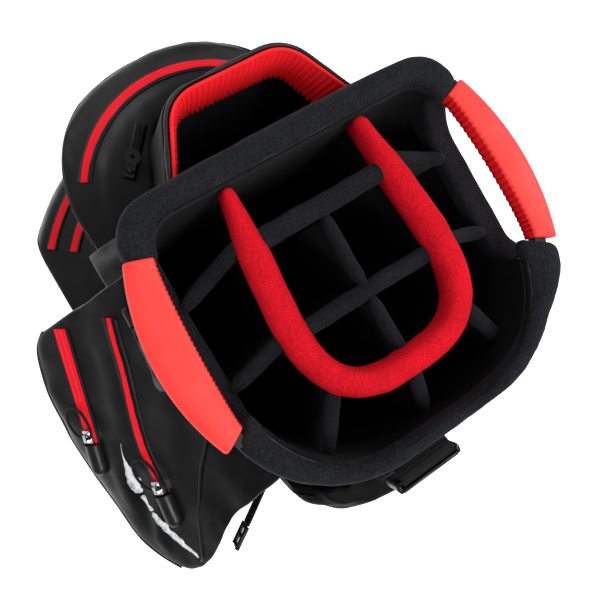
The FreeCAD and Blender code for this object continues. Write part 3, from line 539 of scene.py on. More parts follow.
def circle_through(a, b, c):
    """Centre and radius of the circle through three points."""
    ax, ay, bx, by, cx, cy = *a, *b, *c
    d = 2 * (ax * (by - cy) + bx * (cy - ay) + cx * (ay - by))
    aa, bb, cc = ax * ax + ay * ay, bx * bx + by * by, cx * cx + cy * cy
    ux = (aa * (by - cy) + bb * (cy - ay) + cc * (ay - by)) / d
    uy = (aa * (cx - bx) + bb * (ax - cx) + cc * (bx - ax)) / d
    return ux, uy, math.hypot(ax - ux, ay - uy)


def zip_line(name, count):
    """Points (t, s) along a side pocket's zip from its open end to its closed end."""
    if name == "outer":
        a, b = flat(OUTER_ZIP)
        return [a.lerp(b, i / count) for i in range(count + 1)]
    cx, cy, radius = circle_through(*INNER_ZIP)
    start, stop = (math.atan2(p[1] - cy, p[0] - cx) for p in (INNER_ZIP[0], INNER_ZIP[2]))
    return [Vector((cx + radius * math.cos(start + (stop - start) * i / count),
                    cy + radius * math.sin(start + (stop - start) * i / count), 0)) for i in range(count + 1)]


def parked(name):
    """Spot and direction, on the face, of the closed slider."""
    points = zip_line(name, 400)
    spot = min(points, key=lambda p: abs((p - points[-1]).length - END_MARGIN))
    along = (points[-1] - points[-2]).normalized()
    if name == "inner":
        i = points.index(spot)
        along = (points[i + 1] - points[i - 1]).normalized()
    return spot, along


def cord_loop(name, side_name):
    side = SIDES[side_name]
    spot, along = parked(name)
    across = right_of(along)

    def place(p):
        local = spot + across * p[0] + along * p[1]
        return on_slope(local.x, local.y, p[2], side)

    points = [place(p) for p in LOOP_ROUTE]
    curve = bpy.data.curves.new(f"cord_loop_{name}_{side_name}", "CURVE")
    curve.dimensions = "3D"
    curve.bevel_depth = CORD_DIAMETER / 2 * MM
    curve.bevel_resolution = 4
    curve.resolution_u = 10
    spline = curve.splines.new("NURBS")
    spline.points.add(len(points) - 1)
    for target, point in zip(spline.points, points):
        target.co = (*point, 1.0)
    spline.order_u = 3
    spline.use_endpoint_u = True
    curve.materials.append(MATERIALS["cord"])
    obj = bpy.data.objects.new(curve.name, curve)
    bpy.context.scene.collection.objects.link(obj)
    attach(obj, f"{name}_slider_{side_name}")
    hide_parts(f"cord_{name}_{side_name}")


for side_name in SIDES:
    for zip_name in SIDE_ZIPS:
        cord_loop(zip_name, side_name)


GRIP_SLANT = (7.0, 11.0)     # how much shorter a grip's inner edge is at its front and rear end


# ---- padded rim ------------------------------------------------------------------------------
def rim_roll(front):
    """Padded roll over the front or the back of the collar, from one handle to the other."""
    points = resampled(flat(RIM_PLAN), 4.0, True)
    normals = normals_of(points, True)
    sign = -1 if front else 1
    rows = [(p, n) for p, n in zip(points, normals) if sign * p.y > HANDLE + 0.8]
    first = next(i for i in range(len(rows)) if (rows[i][0] - rows[i - 1][0]).length > 20)
    rows = rows[first:] + rows[:first]
    for k in (0, -1):
        (p, n), q = rows[k], rows[1 if k == 0 else -2][0]
        back = (abs(p.y) - HANDLE + 1.0) / abs(q.y - p.y)
        rows.insert(0 if k == 0 else len(rows), (p + (p - q) * back, n))
    rings = []
    last = len(rows) - 1
    for i, (p, n) in enumerate(rows):
        width = reach_to(WELL_PLAN, p, -n) or 9.0
        k = smooth(width, 9.0, 16.0)
        low = 27.0 - 11.0 * k
        hold = [width - 1.0 - 2.0 * k, min(width - 2.5, width / 2 + 4 * k), min(9.0, width / 2 + 2)]
        section = [(0.6, 27.0), (-0.9, 20.0), (-0.9, 10.0), (0.8, 4.0), (4.0, 0.4), (width * 0.5, -0.6),
                   (width - 4.5, 0.6), (width - 1.0, 3.6), (width + 0.6, 8.5), (width + 0.2, low),
                   (hold[0], low - 2.0), (hold[1], 27.0 - 17.0 * k), (hold[2], 27.0)]
        end = min(i, last - i)
        shrink = (0.88, 0.97)[end] if end < 2 else 1.0
        lean = (GRIP_SLANT[0] if front else GRIP_SLANT[1]) * -sign * (1 - smooth(end, 0, 5))
        middle = (width / 2, 10.0)
        flare = 11.0 * smooth(p.y, 125, 84) if not front and p.x < 0 else 0.0
        ring = []
        for inset, drop in section:
            inset = middle[0] + (inset - middle[0]) * shrink
            inset -= flare * min(1.0, max(0.0, 1 - inset / width))
            drop = middle[1] + (drop - middle[1]) * shrink
            slide = lean * min(1.0, max(0.0, inset / 18.0)) * (1 - smooth(drop, 14, 24))
            ring.append(at(p.x - n.x * inset, p.y - n.y * inset + slide, drop))
        rings.append(ring)
    name = "front" if front else "rear"
    roll = loft(f"rim_roll_{name}", rings, "mesh_black", "bag", [f"rim_pad_{name}"])
    puff(roll, 4.0, 3.0, 3.0, 2 if front else 3)
    seam = []
    for p, n in rows[2:-2]:
        width = reach_to(WELL_PLAN, p, -n) or 9.0
        seam.append(beside(p, n, -(width + 0.4), 11.5))
    tube(f"rim_seam_{name}", seam, 0.9, "thread", "bag")


rim_roll(True)
rim_roll(False)


# ---- lining of the mouth and the padded walls below the handles ------------------------------
def hand_edge(y):
    """Drop of the lower edge of a hand opening."""
    start, width = (36.0, 36.5) if y < 0 else (54.0, 21.0)
    return 43.6 - 25.0 * min(1.0, max(0.0, (abs(y) - start) / width)) ** 2


def well_lining():
    points = resampled(flat(WELL_PLAN), 5.0, True)
    normals = normals_of(points, True)
    drops = [0, 6, 14, 24, 36, 50, 66, 90, 120, 160, 220, 300, 420, 560, 700, 855]
    rings = []
    for p, n in zip(points, normals):
        in_handle = abs(p.y) < HANDLE and abs(p.x) > 100
        top = hand_edge(p.y) + 4.0 if in_handle else 5.0
        levels = [top + (60.0 - top) * d / 60.0 if d < 60 else d for d in drops]
        inner, outer = [], []
        for d in levels:
            swell = smooth(d, 62, 110) * (0.2 + 0.3 * ripple(p.x / 40, p.y / 40, d / 60))
            inner.append(beside(p, n, 0.15 + swell, d))
            outer.append(beside(p, n, 0.85 + swell, d))
        rings.append(inner + outer[::-1])
    loft("well_lining", rings, "lining", "bag", closed_path=True)


def hand_wall(side_name):
    """Padded wall that closes the collar below a hand opening and rounds its corners."""
    side = SIDES[side_name]
    rings = []
    steps = 44
    reach = HANDLE + 1.5
    for i in range(steps + 1):
        y = -reach + 2 * reach * i / steps
        top = max(hand_edge(y), 17.5)
        wave = 0.5 * ripple(y / 18.0, side * 4.0, 1.0)
        outer = 142.5
        section = [(121.2, 66.0), (120.8, 56.0), (120.8 + 0.3 * wave, top + 7), (120.9, top + 2.0),
                   (122.6, top - 1.0), (127.0, top - 2.2), (132.0, top - 2.6), (138.0, top - 2.0),
                   (outer - 0.6, top + 0.4), (outer + 0.6, top + 8), (outer, 66.0)]
        rings.append([at(side * x, y, d) for x, d in section])
    wall = loft(f"hand_wall_{side_name}", rings, "mesh_black", "bag")
    subdivided(wall)
    crumple(wall, 16.0, 0.35, 7)


well_lining()
for side_name in SIDES:
    hand_wall(side_name)


# ---- lift grips ------------------------------------------------------------------------------
GRIPS = {       # x of the inner and outer edges at the front, middle and rear
    "right": dict(inner=(123, 130, 131), outer=(143, 162, 150), pitch=3.9, bite=0.9, foot=0.0),
    "left": dict(inner=(127.5, 135.5, 133.5), outer=(146, 163, 153), pitch=5.4, bite=1.6, foot=2.6),
}
# faces within these points get the darker red of painted shade on the grip's inner face
TOOTH_SHADE_COLUMNS = 4               # points of a grip's section that its teeth take up


def arc_x(y, front, middle, back):
    """x at y of the arc through a grip edge's front end, middle and rear end."""
    cx, cy, radius = circle_through((front, -HANDLE), (middle, 0.0), (back, HANDLE))
    return cx + math.copysign(math.sqrt(radius ** 2 - (y - cy) ** 2), middle - cx)


def lift_grip(side_name):
    side = SIDES[side_name]
    shape = GRIPS[side_name]
    foot = shape["foot"]
    count = round(2 * HANDLE / (shape["pitch"] / 4))
    rings = []
    for i in range(count + 1):
        y = -HANDLE + 2 * HANDLE * i / count
        inner, outer = arc_x(y, *shape["inner"]), arc_x(y, *shape["outer"])
        width = outer - inner
        bite = shape["bite"] if i % 4 in (0, 1) and abs(y) < HANDLE - 5 else 0.0
        end = max(0.0, abs(y) - (HANDLE - 2.5)) / 2.5
        crown = -0.7 + 1.6 * end ** 2
        line = 0.45 * smooth(y, -30, 0)
        groove = inner + 5.6
        tuck = 1.2 * end ** 2
        section = [(inner + 3.0 - foot, 14.6), (inner + 0.6 + bite - foot, 12.2),
                   (inner + bite - 0.7 * foot, 8.6), (inner + 0.2 + bite - 0.3 * foot, 5.0),
                   (inner + 0.8 + bite * 0.5, 2.2 + bite * 0.3), (inner + 1.6 + bite * 0.25, 1.0),
                   (inner + 3.0, 0.3 + end), (groove - 0.5, crown * 0.7), (groove, crown * 0.8 + line),
                   (groove + 0.5, crown * 0.85), (inner + width * 0.5, crown),
                   (inner + width * 0.7, crown + 0.1), (outer - 3.6, 0.7 + end),
                   (outer - 1.2 - tuck, 2.4), (outer + 0.1 - tuck, 5.4), (outer + 0.2 - tuck, 9.0),
                   (outer - 0.9 - tuck, 12.6), (outer - 3.8, 14.7), (inner + width * 0.5, 15.0)]
        slant = GRIP_SLANT[0] if y < 0 else -GRIP_SLANT[1]
        ring = []
        for x, d in section:
            share = min(1.0, max(0.0, (outer - x) / width))
            ring.append(at(side * x, y + slant * share * (abs(y) / HANDLE) ** 3, d))
        rings.append(ring)
    grip = loft(f"moulded_grip_{side_name}", rings, "grip", "bag", [f"lift_grip_{side_name}"])
    grip.data.materials.append(MATERIALS["grip_teeth_shade"])
    per = len(rings[0])
    # the inner, toothed face takes the darker red: painted shade
    for face in grip.data.polygons:
        columns = {v % per for v in face.vertices}
        if len(face.vertices) == 4 and max(columns) <= TOOTH_SHADE_COLUMNS:
            face.material_index = 1
    subdivided(grip)


for side_name in SIDES:
    lift_grip(side_name)


# ---- dividers --------------------------------------------------------------------------------
FLOOR_DROP = 862.0
U_PATH = [(56.0, -84.6), (68.0, 20.0), (66.5, 48.0), (59.0, 70.0), (44.0, 84.5), (22.0, 91.0)]


def u_points(step):
    return resampled(rounded(U_PATH + [(-x, y) for x, y in reversed(U_PATH)], 16.0), step)


def u_roll():
    points = u_points(4.0)
    normals = normals_of(points, False)
    last = len(points) - 1
    rings = []
    for i, (p, n) in enumerate(zip(points, normals)):
        near = min(i, last - i) * 4.0
        half = 6.6 + 4.9 * smooth(near, 4.0, 60.0)
        top = 1.5 - 0.8 * smooth(near, 0.0, 20.0)
        if near < 6.0:
            half *= 0.72 + 0.047 * near
            top += 0.5 * (6.0 - near)
        half += 0.5 * ripple(p.x / 22, p.y / 22, 3.0)
        section = [(-0.30, 30), (-0.72, 26), (-0.98, 19), (-1.0, 12), (-0.86, 5.5), (-0.52, 1.2), (0.0, 0.0),
                   (0.52, 1.2), (0.86, 5.5), (1.0, 12), (0.98, 19), (0.72, 26), (0.30, 30)]
        rings.append([beside(p, n, a * half, top + d) for a, d in section])
    roll = loft("u_roll", rings, "mesh_crimson", "bag", ["u_divider_pad"])
    puff(roll, 4.0, 3.5, 3.0, 5)


def u_panel():
    points = u_points(6.0)
    normals = normals_of(points, False)
    drops = [24, 34, 50, 80, 130, 200, 320, 480, 660, FLOOR_DROP]
    rings = []
    for p, n in zip(points, normals):
        one, two = [], []
        for d in drops:
            sway = 1.2 * ripple(p.x / 50, p.y / 50, d / 90) * smooth(d, 30, 90)
            for out, half in ((one, -1.4), (two, 1.4)):
                out.append(beside(p, n, half + sway, d))
        rings.append(one + two[::-1])
    loft("u_panel", rings, "divider", "bag", ["u_divider_panel"])


def divider(name, start, end, drops, half, replaces, sag, seed):
    """Fabric divider with a padded top edge."""
    a, b = flat((start, end))
    along = (b - a).normalized()
    across = right_of(along)
    count = max(6, round((b - a).length / 4.0))
    rings = []
    for i in range(count + 1):
        t = i / count
        p = a.lerp(b, t)
        top = drops[0] + (drops[1] - drops[0]) * t + sag * math.sin(math.pi * t)
        top += 0.9 * ripple(p.x / 15, p.y / 15, seed)
        end_in = min(t, 1 - t) * (b - a).length
        full = half * (0.7 + 0.3 * smooth(end_in, 0, 12))
        full += 0.6 * ripple(p.x / 14, p.y / 14, seed + 5)
        top += 2.5 * (1 - smooth(end_in, 0, 9))
        sway = 2.2 * ripple(p.x / 30, p.y / 30, seed + 9)
        rows = [(0.0, 0.0), (0.5, 0.5), (0.86, 2.4), (1.0, 5.8), (0.93, 9.6), (0.66, 13.6)]
        side = [(full * w, top + d) for w, d in rows]
        side += [(2.0, top + 20), (1.6, top + 42), (1.5, top + 110), (1.5, 400.0), (1.5, FLOOR_DROP)]
        section = [(-w, d) for w, d in reversed(side)] + side[1:]
        ring = []
        for w, d in section:
            move = sway * (0.45 + 0.55 * smooth(d - top, 10, 90)) * (1 - smooth(d, 500, 800))
            move *= smooth(end_in, 0, 20)
            ring.append(beside(p, across, w + move, d))
        rings.append(ring)
    loft(name, rings, "divider", "bag", replaces)


u_roll()
u_panel()
divider("cross_front", (62.5, -42), (-62.5, -42), (6.5, 6.5), 8.0, ["cross_divider_front"], 2.5, 1.0)
divider("cross_rear", (67.5, 30), (-67.5, 30), (13.0, 13.0), 6.8, ["cross_divider_rear"], 2.0, 2.0)
divider("spine_front", (0, -36.5), (0, 25), (14, 14), 5.0, ["spine_divider"], 2.5, 3.0)
divider("spine_rear", (0, 35), (0, 89), (14, 12), 5.0, ["spine_divider"], 2.0, 4.0)
RADIALS = {"front": ((60.5, -49), (123.5, -26.9)), "middle": ((68.5, 26), (123.5, 43.1)),
           "rear": ((59, 73.5), (86.5, 125.5))}
RADIAL_DROPS = (9, 38)
RADIAL_HALF = 6.0
for side_name, side in SIDES.items():
    for k, (radial, (start, end)) in enumerate(RADIALS.items()):
        divider(f"radial_{radial}_{side_name}", (side * start[0], start[1]), (side * end[0], end[1]),
                RADIAL_DROPS, RADIAL_HALF, [f"radial_divider_{radial}_{side_name}"], 0.5, 6.0 + k + 3 * side)
divider("radial_centre", (0, 93), (0, 141), RADIAL_DROPS, RADIAL_HALF, ["radial_divider_centre"], 0.5, 17.0)


# ---- putter well -----------------------------------------------------------------------------
WELL_TOP = 40.0
LINER_DEPTH = 38.0
RIB_PITCH = 5.3


def putter_liner():
    """Moulded liner with upright ribs inside that thicken as it narrows downwards."""
    plan = [(83.8, -107), (51.86, -168.8), (-51.86, -168.8), (-83.8, -107)]
    top = resampled(rounded(plan, 22.0, 8), RIB_PITCH / 4)
    foot = resampled(rounded([(80.5, -110), (50.5, -162), (-46, -160), (-66, -112)], 12.0, 8), 1.0)
    foot = matched(foot, len(top))
    normals = normals_of(top, False)
    rings = []
    for i, (p, n, q) in enumerate(zip(top, normals, foot)):
        rib = i % 4 in (0, 1)

        def inner(depth, extra):
            return (p + n * 3.2).lerp(q, depth * 0.9) + n * extra

        points = [(p, WELL_TOP + LINER_DEPTH), (p, WELL_TOP + 3), (p + n * 0.6, WELL_TOP + 0.6),
                  (p + n * 1.8, WELL_TOP - 0.3), (inner(0.0, -0.2), WELL_TOP + 0.8),
                  (inner(0.02, 0), WELL_TOP + 3.0),
                  (inner(0.08, 1.6 if rib else -0.3), WELL_TOP + 5.0),
                  (inner(0.5, 2.3 if rib else -0.4), WELL_TOP + 18.0),
                  (inner(0.95, 2.3 if rib else -0.4), WELL_TOP + LINER_DEPTH - 2),
                  (inner(1.0, 1.0 if rib else -0.4), WELL_TOP + LINER_DEPTH)]
        rings.append([at(v.x, v.y, d) for v, d in points])
    loft("putter_liner", rings, "liner", "bag", ["putter_well_liner"])


def putter_casing():
    """Fabric-covered outside of the putter well, rounded over its top."""
    points = resampled(rounded([(84.3, -106), (52.4, -169.4), (-52.4, -169.4), (-84.3, -106)], 22.0, 8), 4.0)
    normals = normals_of(points, False)
    rings = []
    last = len(points) - 1
    for i, (p, n) in enumerate(zip(points, normals)):
        end = smooth(min(i, last - i) * 4.0, 0, 16)
        full = 0.6 + 0.4 * end
        section = [(0.2, 119), (0.2, 80), (0.2, 44), (0.8, 41.9), (2.2, 41.3), (3.8, 42.6), (5.2, 48),
                   (7.2 * full, 60), (9.4 * full, 80), (11.4 * full, 100), (12.8 * full, 112),
                   (14.4 * full, 119.5), (4.0, 121.0)]
        rings.append([beside(p, n, -a, d) for a, d in section])
    casing = loft("putter_casing", rings, "coated_casing", "bag", ["putter_well_casing"])
    subdivided(casing)
    crumple(casing, 34.0, 1.4, 11)
    seam = [beside(p, n, -4.7, 45.6) for p, n in list(zip(points, normals))[1:-1]]
    tube("casing_seam", seam, 0.5, "thread", "bag")


putter_liner()
putter_casing()


# ---- front pockets ---------------------------------------------------------------------------
FRONT = {
    "upper": dict(line=(33.0, -99.0), half=121.0, radius=155.0, top=120.0, bottom=300.0,
                  shoulder=(106.0, 144.0, 22.0), corner=117.0, back=-101.6, round=12.0),
    "lower": dict(line=(0.0, -4.0), half=216.0, radius=288.0, top=316.0, bottom=752.0,
                  shoulder=(206.0, 276.0, 42.0), corner=130.0, back=-78.6, round=18.0),
}
FRONT_ZIPS = {"front_upper": ("upper", 120.0, 57.0), "front_lower": ("lower", 264.0, 50.0),
              "front_middle": ("lower", 236.0, 50.0)}
VALUABLES_ZIP = ((68, -185), (101, -148))


def front_plan(p, step):
    """Outline of a front pocket in plan, from its right rear corner round the front to the left one."""
    half, radius, corner, (x0, y0) = p["half"], p["radius"], p["corner"], p["line"]
    right = [(half, p["back"] - y0)]
    middle = -radius + corner
    for i in range(31):
        a = math.radians(3 * i)
        x, y = half - corner + corner * math.cos(a), middle - corner * math.sin(a)
        r = math.hypot(x, y)
        if r > radius and y < 0:
            x, y = x * radius / r, y * radius / r
        if y + y0 < p["back"] - 2:
            right.append((x, y))
    start = math.degrees(math.asin(min(1.0, right[-1][0] / radius)))
    for i in range(1, 20):
        a = math.radians(start * (1 - i / 20))
        right.append((radius * math.sin(a), -radius * math.cos(a)))
    path = right + [(0, -radius)] + [(-x, y) for x, y in reversed(right)]
    return resampled([(x0 + x, y0 + y, 0) for x, y in path], step)


def line_distance(p, x, y):
    """Distance from the upright line that a front pocket is turned about; straight back behind it."""
    return math.hypot(x - p["line"][0], min(0.0, y - p["line"][1]))


def shoulder_drop(p, r):
    """Drop of a pocket's top at a distance r from the line that it is turned about."""
    inner, outer, fall = p["shoulder"]
    top, radius = p["top"], p["radius"]
    if r <= inner:
        return top
    if r <= outer:
        return top + fall * (r - inner) / (outer - inner)
    if r <= radius - 3:
        return top + fall + 10 * ((r - outer) / (radius - 3 - outer)) ** 1.6
    return top + fall + 10 + 12 * min(1.0, (r - radius + 3) / 3.0)


def front_pocket(name):
    p = FRONT[name]
    outline = front_plan(p, 6.0)
    grow = 1.5
    well = [(86.5, -101.6), (84 + grow, -108), (54 + grow, -170 - grow)]
    well += [(-x, y) for x, y in reversed(well)]
    if name == "lower":
        flank = [(p["half"] - 2, p["back"] + 1.0), (139.0, p["back"] + 1.0), (138.4, -101.6)]
        inner_path = flank + well + [(-x, y) for x, y in reversed(flank)]
    else:
        inner_path = [(151.0, -101.6)] + well + [(-91.0, -101.6)]
    inner = resampled(flat(inner_path), 1.0)
    inner = matched(inner, len(outline))
    shares = [0.0, 0.012, 0.03, 0.055, 0.09, 0.14, 0.2, 0.28, 0.38, 0.5, 0.64, 0.8, 1.0]
    depth = p["bottom"] - p["top"]
    rings = []
    for o, q in zip(outline, inner):
        span = (q - o).length
        ring = []
        for share in shares:
            v = o.lerp(q, share)
            r = line_distance(p, v.x, v.y)
            inset = share * span
            edge = p["top"] + rounding(inset, p["round"])
            ring.append(at(v.x, v.y, max(shoulder_drop(p, r), edge)))
        ring.reverse()
        rim_drop = (RIM_Z - ring[-1].z) / MM
        wall = [(0.0, rim_drop + (p["bottom"] - 22 - rim_drop) * (k / 12)) for k in range(1, 13)]
        wall += [(-2.0, p["bottom"] - 12), (-8.0, p["bottom"] - 3), (-20.0, p["bottom"])]
        out = (o - q).normalized()
        for push, d in wall:
            ring.append(beside(o, out, push, d))
        for share in (0.3, 0.7, 1.0):
            v = o.lerp(q, share) if share * span > 20 else o - out * min(span, 20)
            ring.append(at(v.x, v.y, p["bottom"]))
        for k in (0.75, 0.5, 0.25):
            ring.append(at(q.x, q.y, p["top"] + depth * k))
        rings.append(ring)
    pocket = loft(f"{name}_pocket_cover", rings, "coated", "bag", [f"front_{name}_pocket"])
    zips = [z for z in FRONT_ZIPS.values() if z[0] == name]

    def keep(co):
        r, drop = line_distance(p, co.x / MM, co.y / MM), (RIM_Z - co.z) / MM
        if drop > p["top"] + 60:
            return 1.0
        near = min(abs(r - z[1]) for z in zips)
        if name == "upper":
            a, b = flat(VALUABLES_ZIP)
            spot = Vector((co.x / MM, co.y / MM, 0))
            share = min(1.0, max(0.0, (spot - a).dot(b - a) / (b - a).length_squared))
            near = min(near, (spot - a.lerp(b, share)).length)
        return 0.12 + 0.88 * smooth(near, 9, 30)

    subdivided(pocket)
    crumple(pocket, 75.0, 2.6, 21 if name == "upper" else 22, keep)
    crumple(pocket, 24.0, 0.9, 24, keep)
    seam = [beside(o, (o - q).normalized(), 0.3, 0) for o, q in zip(outline, inner)]
    for v, ring in zip(seam, rings):
        v.z = ring[len(shares) - 1].z - 2.0 * MM
    tube(f"{name}_pocket_seam", resampled(seam[2:-2], 5.0 * MM), 1.1, "piping", "bag")


def turned(p, radius, angle, drop):
    a = math.radians(angle)
    return at(p["line"][0] + radius * math.sin(a), p["line"][1] - radius * math.cos(a), drop)


for pocket_name in FRONT:
    front_pocket(pocket_name)


# ---- side pockets ----------------------------------------------------------------------------
SIDE_PLAN = [(139, -73), (238, -73), (254, -30), (262, 20), (264, 70), (260, 115), (248, 150), (232, 172),
             (220, 174), (204, 166), (184, 143), (160, 131), (128, 124), (107, 109)]


def side_slope(x, lower):
    if x <= 150.0:
        return 60.0 + lower - max(0.0, (150.0 - x) * 0.6)
    if x <= 250.0:
        return 60.0 + lower + (x - 150.0)
    return 160.0 + lower + 26.0 * ((x - 250.0) / 12.0) ** 1.7


SLOPE_WRINKLES = [               # (points down and along the slope, height, half width)
    (((52, -66), (62, -30), (76, 6), (90, 40), (100, 70)), 2.4, 6.0),
    (((66, -52), (84, -14), (104, 30)), -2.0, 6.0),
    (((108, 30), (122, 60), (131, 96)), 3.0, 7.0),
    (((100, 60), (114, 92), (126, 128)), -2.6, 7.0),
    (((112, 112), (122, 132), (120, 150)), 2.4, 6.0),
    (((20, 10), (34, 44), (50, 78)), 1.4, 7.0),
]


def wrinkles(obj, place, rows, out):
    """Raise or sink soft folds along lines of a face; out is the way that a fold rises."""
    out = Vector(out)
    for points, height, half in rows:
        line = resampled([tuple(place(*p)) for p in points], 4.0 * MM)
        for vertex in obj.data.vertices:
            near, k = min(((vertex.co - v).length, i) for i, v in enumerate(line))
            if near < 2.5 * half * MM:
                fade = math.sin(math.pi * (k + 0.5) / len(line)) ** 0.6
                vertex.co += out * (height * MM * fade * math.exp(-(near / (half * MM)) ** 2))
    obj.data.update()


def side_pocket(side_name):
    side = SIDES[side_name]
    lower = 0.0 if side > 0 else LEFT_LOWER
    outline = resampled(rounded(SIDE_PLAN, 12.0, 6), 6.0)
    shell = [q for q in resampled(flat(SHELL_PLAN), 1.0, True)
             if q.x > 100 and -73.5 < q.y < 109.5]
    shell.sort(key=lambda v: v.y)
    inner = matched(shell, len(outline))
    shares = [0.0, 0.02, 0.05, 0.1, 0.16, 0.24, 0.34, 0.46, 0.6, 0.75, 0.88, 1.0]
    bottom = 768.0
    rings = []
    for o, q in zip(outline, inner):
        span = (q - o).length
        ring = []
        for share in shares:
            v = o.lerp(q, share)
            inset = share * span
            ring.append(at(side * v.x, v.y, side_slope(v.x, lower) + rounding(inset, 7.0)))
        ring.reverse()
        edge_drop = (RIM_Z - ring[-1].z) / MM
        out = (o - q).normalized()
        far = smooth(o.x, 200, 262)
        wall = [(0.0, edge_drop + (bottom - 60 - edge_drop) * k / 14) for k in range(1, 15)]
        wall += [(-3.0 * far, bottom - 40), (-8.0 * far, bottom - 22), (-16.0 * far - 3, bottom - 6),
                 (-26.0 * far - 6, bottom)]
        for push, d in wall:
            push = max(push, -span + 0.5)
            ring.append(at(side * (o.x + out.x * push), o.y + out.y * push, d))
        for share in (0.5, 1.0):
            v = (o + out * max(-26.0 * far - 6, -span + 0.5)).lerp(q, share)
            ring.append(at(side * v.x, v.y, bottom))
        top = (RIM_Z - ring[0].z) / MM
        for k in (0.75, 0.5, 0.25):
            ring.append(at(side * q.x, q.y, top + (bottom - top) * k))
        rings.append(ring)
    # the side cover takes the darker copy of the coated fabric: painted shade
    cover = loft(f"side_cover_{side_name}", rings, "coated_shaded_side", "bag",
                 [f"side_pocket_{side_name}"])
    lines = {name: [on_slope(v.x, v.y, 0.0, side) for v in zip_line(name, 40)] for name in SIDE_ZIPS}
    spots = [v for line in lines.values() for v in line]
    for name in SIDE_ZIPS:
        spot, along = parked(name)
        for reach in (12, 24, 38):
            v = spot + along * reach
            spots.append(on_slope(v.x, v.y, 0.0, side))

    def keep(co):
        near = min((co - v).length for v in spots) / MM
        return 0.1 + 0.9 * smooth(near, 10, 34)

    subdivided(cover)
    wrinkles(cover, lambda t, s: on_slope(t, s, 0.0, side), SLOPE_WRINKLES, (DIAGONAL * side, 0, DIAGONAL))
    crumple(cover, 80.0, 3.0, 31, keep)
    crumple(cover, 22.0, 1.1, 33, keep)

    def piping(name, points):
        tube(f"{name}_{side_name}", resampled(points, 5.0 * MM), 1.3, "piping", "bag")

    corner = on_slope(88, 163, 1.0, side)
    piping("face_seam", [on_slope(4, 62, 0.2, side), on_slope(34, 89, 0.4, side), on_slope(64, 124, 0.4, side),
                         corner, at(side * 224, 171, 146 + lower), at(side * 229, 173.5, 170 + lower),
                         at(side * 231, 173.5, 260 + lower)])
    border = [at(side * (o.x + 0.2), o.y, side_slope(o.x, lower) + 3.5) for o in outline
              if o.x > 225 and o.y < 168]
    skin = [v.co for v in cover.data.vertices]
    proud = Vector((0.4 * MM * side, 0, 0.3 * MM))
    border = [min(skin, key=lambda co: (co - v).length) + proud for v in border]
    for _ in range(3):
        middle = [(a + 2 * b + c) / 4 for a, b, c in zip(border, border[1:], border[2:])]
        border = [border[0]] + middle + [border[-1]]
    piping("edge_seam", border)


def flank_fold(side_name):
    """Loose gusset between the upper front pocket and the front of a side pocket."""
    side = SIDES[side_name]
    lower = 0.0 if side > 0 else LEFT_LOWER
    wide = 26.0
    rings = []
    for i in range(25):
        u = i / 24
        y = -104.0 + 33.0 * u
        over, under = [], []
        for k in range(17):
            x = 136.0 + wide * k / 16
            d = side_slope(x, lower) + 7.0 + 26.0 * (1 - u) ** 1.5
            d += 2.0 * math.sin(math.pi * u) * math.sin(x / 7.0)
            d += 3.0 * ripple(x / 14, y / 14, side * 3)
            over.append(at(side * x, y, d))
            under.append(at(side * x, y, d + 2.0))
        rings.append(over + under[::-1])
    subdivided(loft(f"flank_fold_{side_name}", rings, "coated_shell", "bag"))


for side_name in SIDES:
    side_pocket(side_name)
    flank_fold(side_name)


# ---- body shell ------------------------------------------------------------------------------
def body_cover():
    points = resampled(flat(SHELL_PLAN), 6.0, True)
    normals = normals_of(points, True)
    drops = [61, 64, 70, 80, 95, 115, 140, 170, 205, 245, *range(290, 791, 50), 830, 861]
    rings = []
    for p, n in zip(points, normals):
        outer, inner = [], []
        for d in drops:
            fold = ripple(p.x / 60, p.y / 60, d / 45) + 0.5 * ripple(p.x / 22, p.y / 22, d / 14)
            swell = smooth(d, 62, 110) * (1 - smooth(d, 770, 806)) * (2.2 + 2.0 * fold)
            if p.y < -60 or abs(p.x) > 120 and p.y < 110:
                swell = min(swell, 0.4)
            outer.append(beside(p, n, swell, d))
            inner.append(beside(p, n, -2.6, d))
        rings.append(outer + inner[::-1])
    loft("body_cover", rings, "coated_shell", "bag", ["body_shell"], closed_path=True)


body_cover()


# ---- zips ------------------------------------------------------------------------------------
ZIP_PITCH = 1.5


def zip_band(name, frames, half, opening, material, replaces, cloth="coated"):
    """Coated tape with a closed slit along it, and a lip of fabric on each side of its opening.

    frames gives (middle, across, up) for a share of its length from 0 to 1, opening the half width that shows.
    """
    length = sum((frames((i + 1) / 40)[0] - frames(i / 40)[0]).length for i in range(40)) / MM
    count = round(length / ZIP_PITCH) * 2
    bands = {"tape": [], "lip_in": [], "lip_out": []}
    for i in range(count + 1):
        share = i / count
        middle, across, up = frames(share)
        wide = opening(share)
        puff_up = 0.35 * noise.noise(middle / (9.0 * MM))
        ridge = 0.08 * (i % 2)
        tape = [(-half, -0.2), (-half, 0.05), (-wide, 1.0), (-wide * 0.6, 1.5 + puff_up), (-0.4, 1.6 + ridge),
                (0, 1.4), (0.4, 1.6 + ridge), (wide * 0.6, 1.5 + puff_up), (wide, 1.0), (half, 0.05),
                (half, -0.2)]
        bands["tape"].append([middle + (across * a + up * b) * MM for a, b in tape])
        for band, sign in (("lip_in", -1), ("lip_out", 1)):
            lip = [(wide, 0.8), (wide, 1.25 + puff_up), (wide + 0.4, 1.35 + puff_up), (wide + 1.0, 1.1),
                   (half + 1.4, 0.1), (half + 1.4, -0.6), (wide + 1.0, -0.6)]
            bands[band].append([middle + (across * sign * a + up * b) * MM for a, b in lip])
    loft(name, bands["tape"], material, "bag", replaces)
    for band in ("lip_in", "lip_out"):
        loft(f"{name}_{band}", bands[band], cloth, "bag")


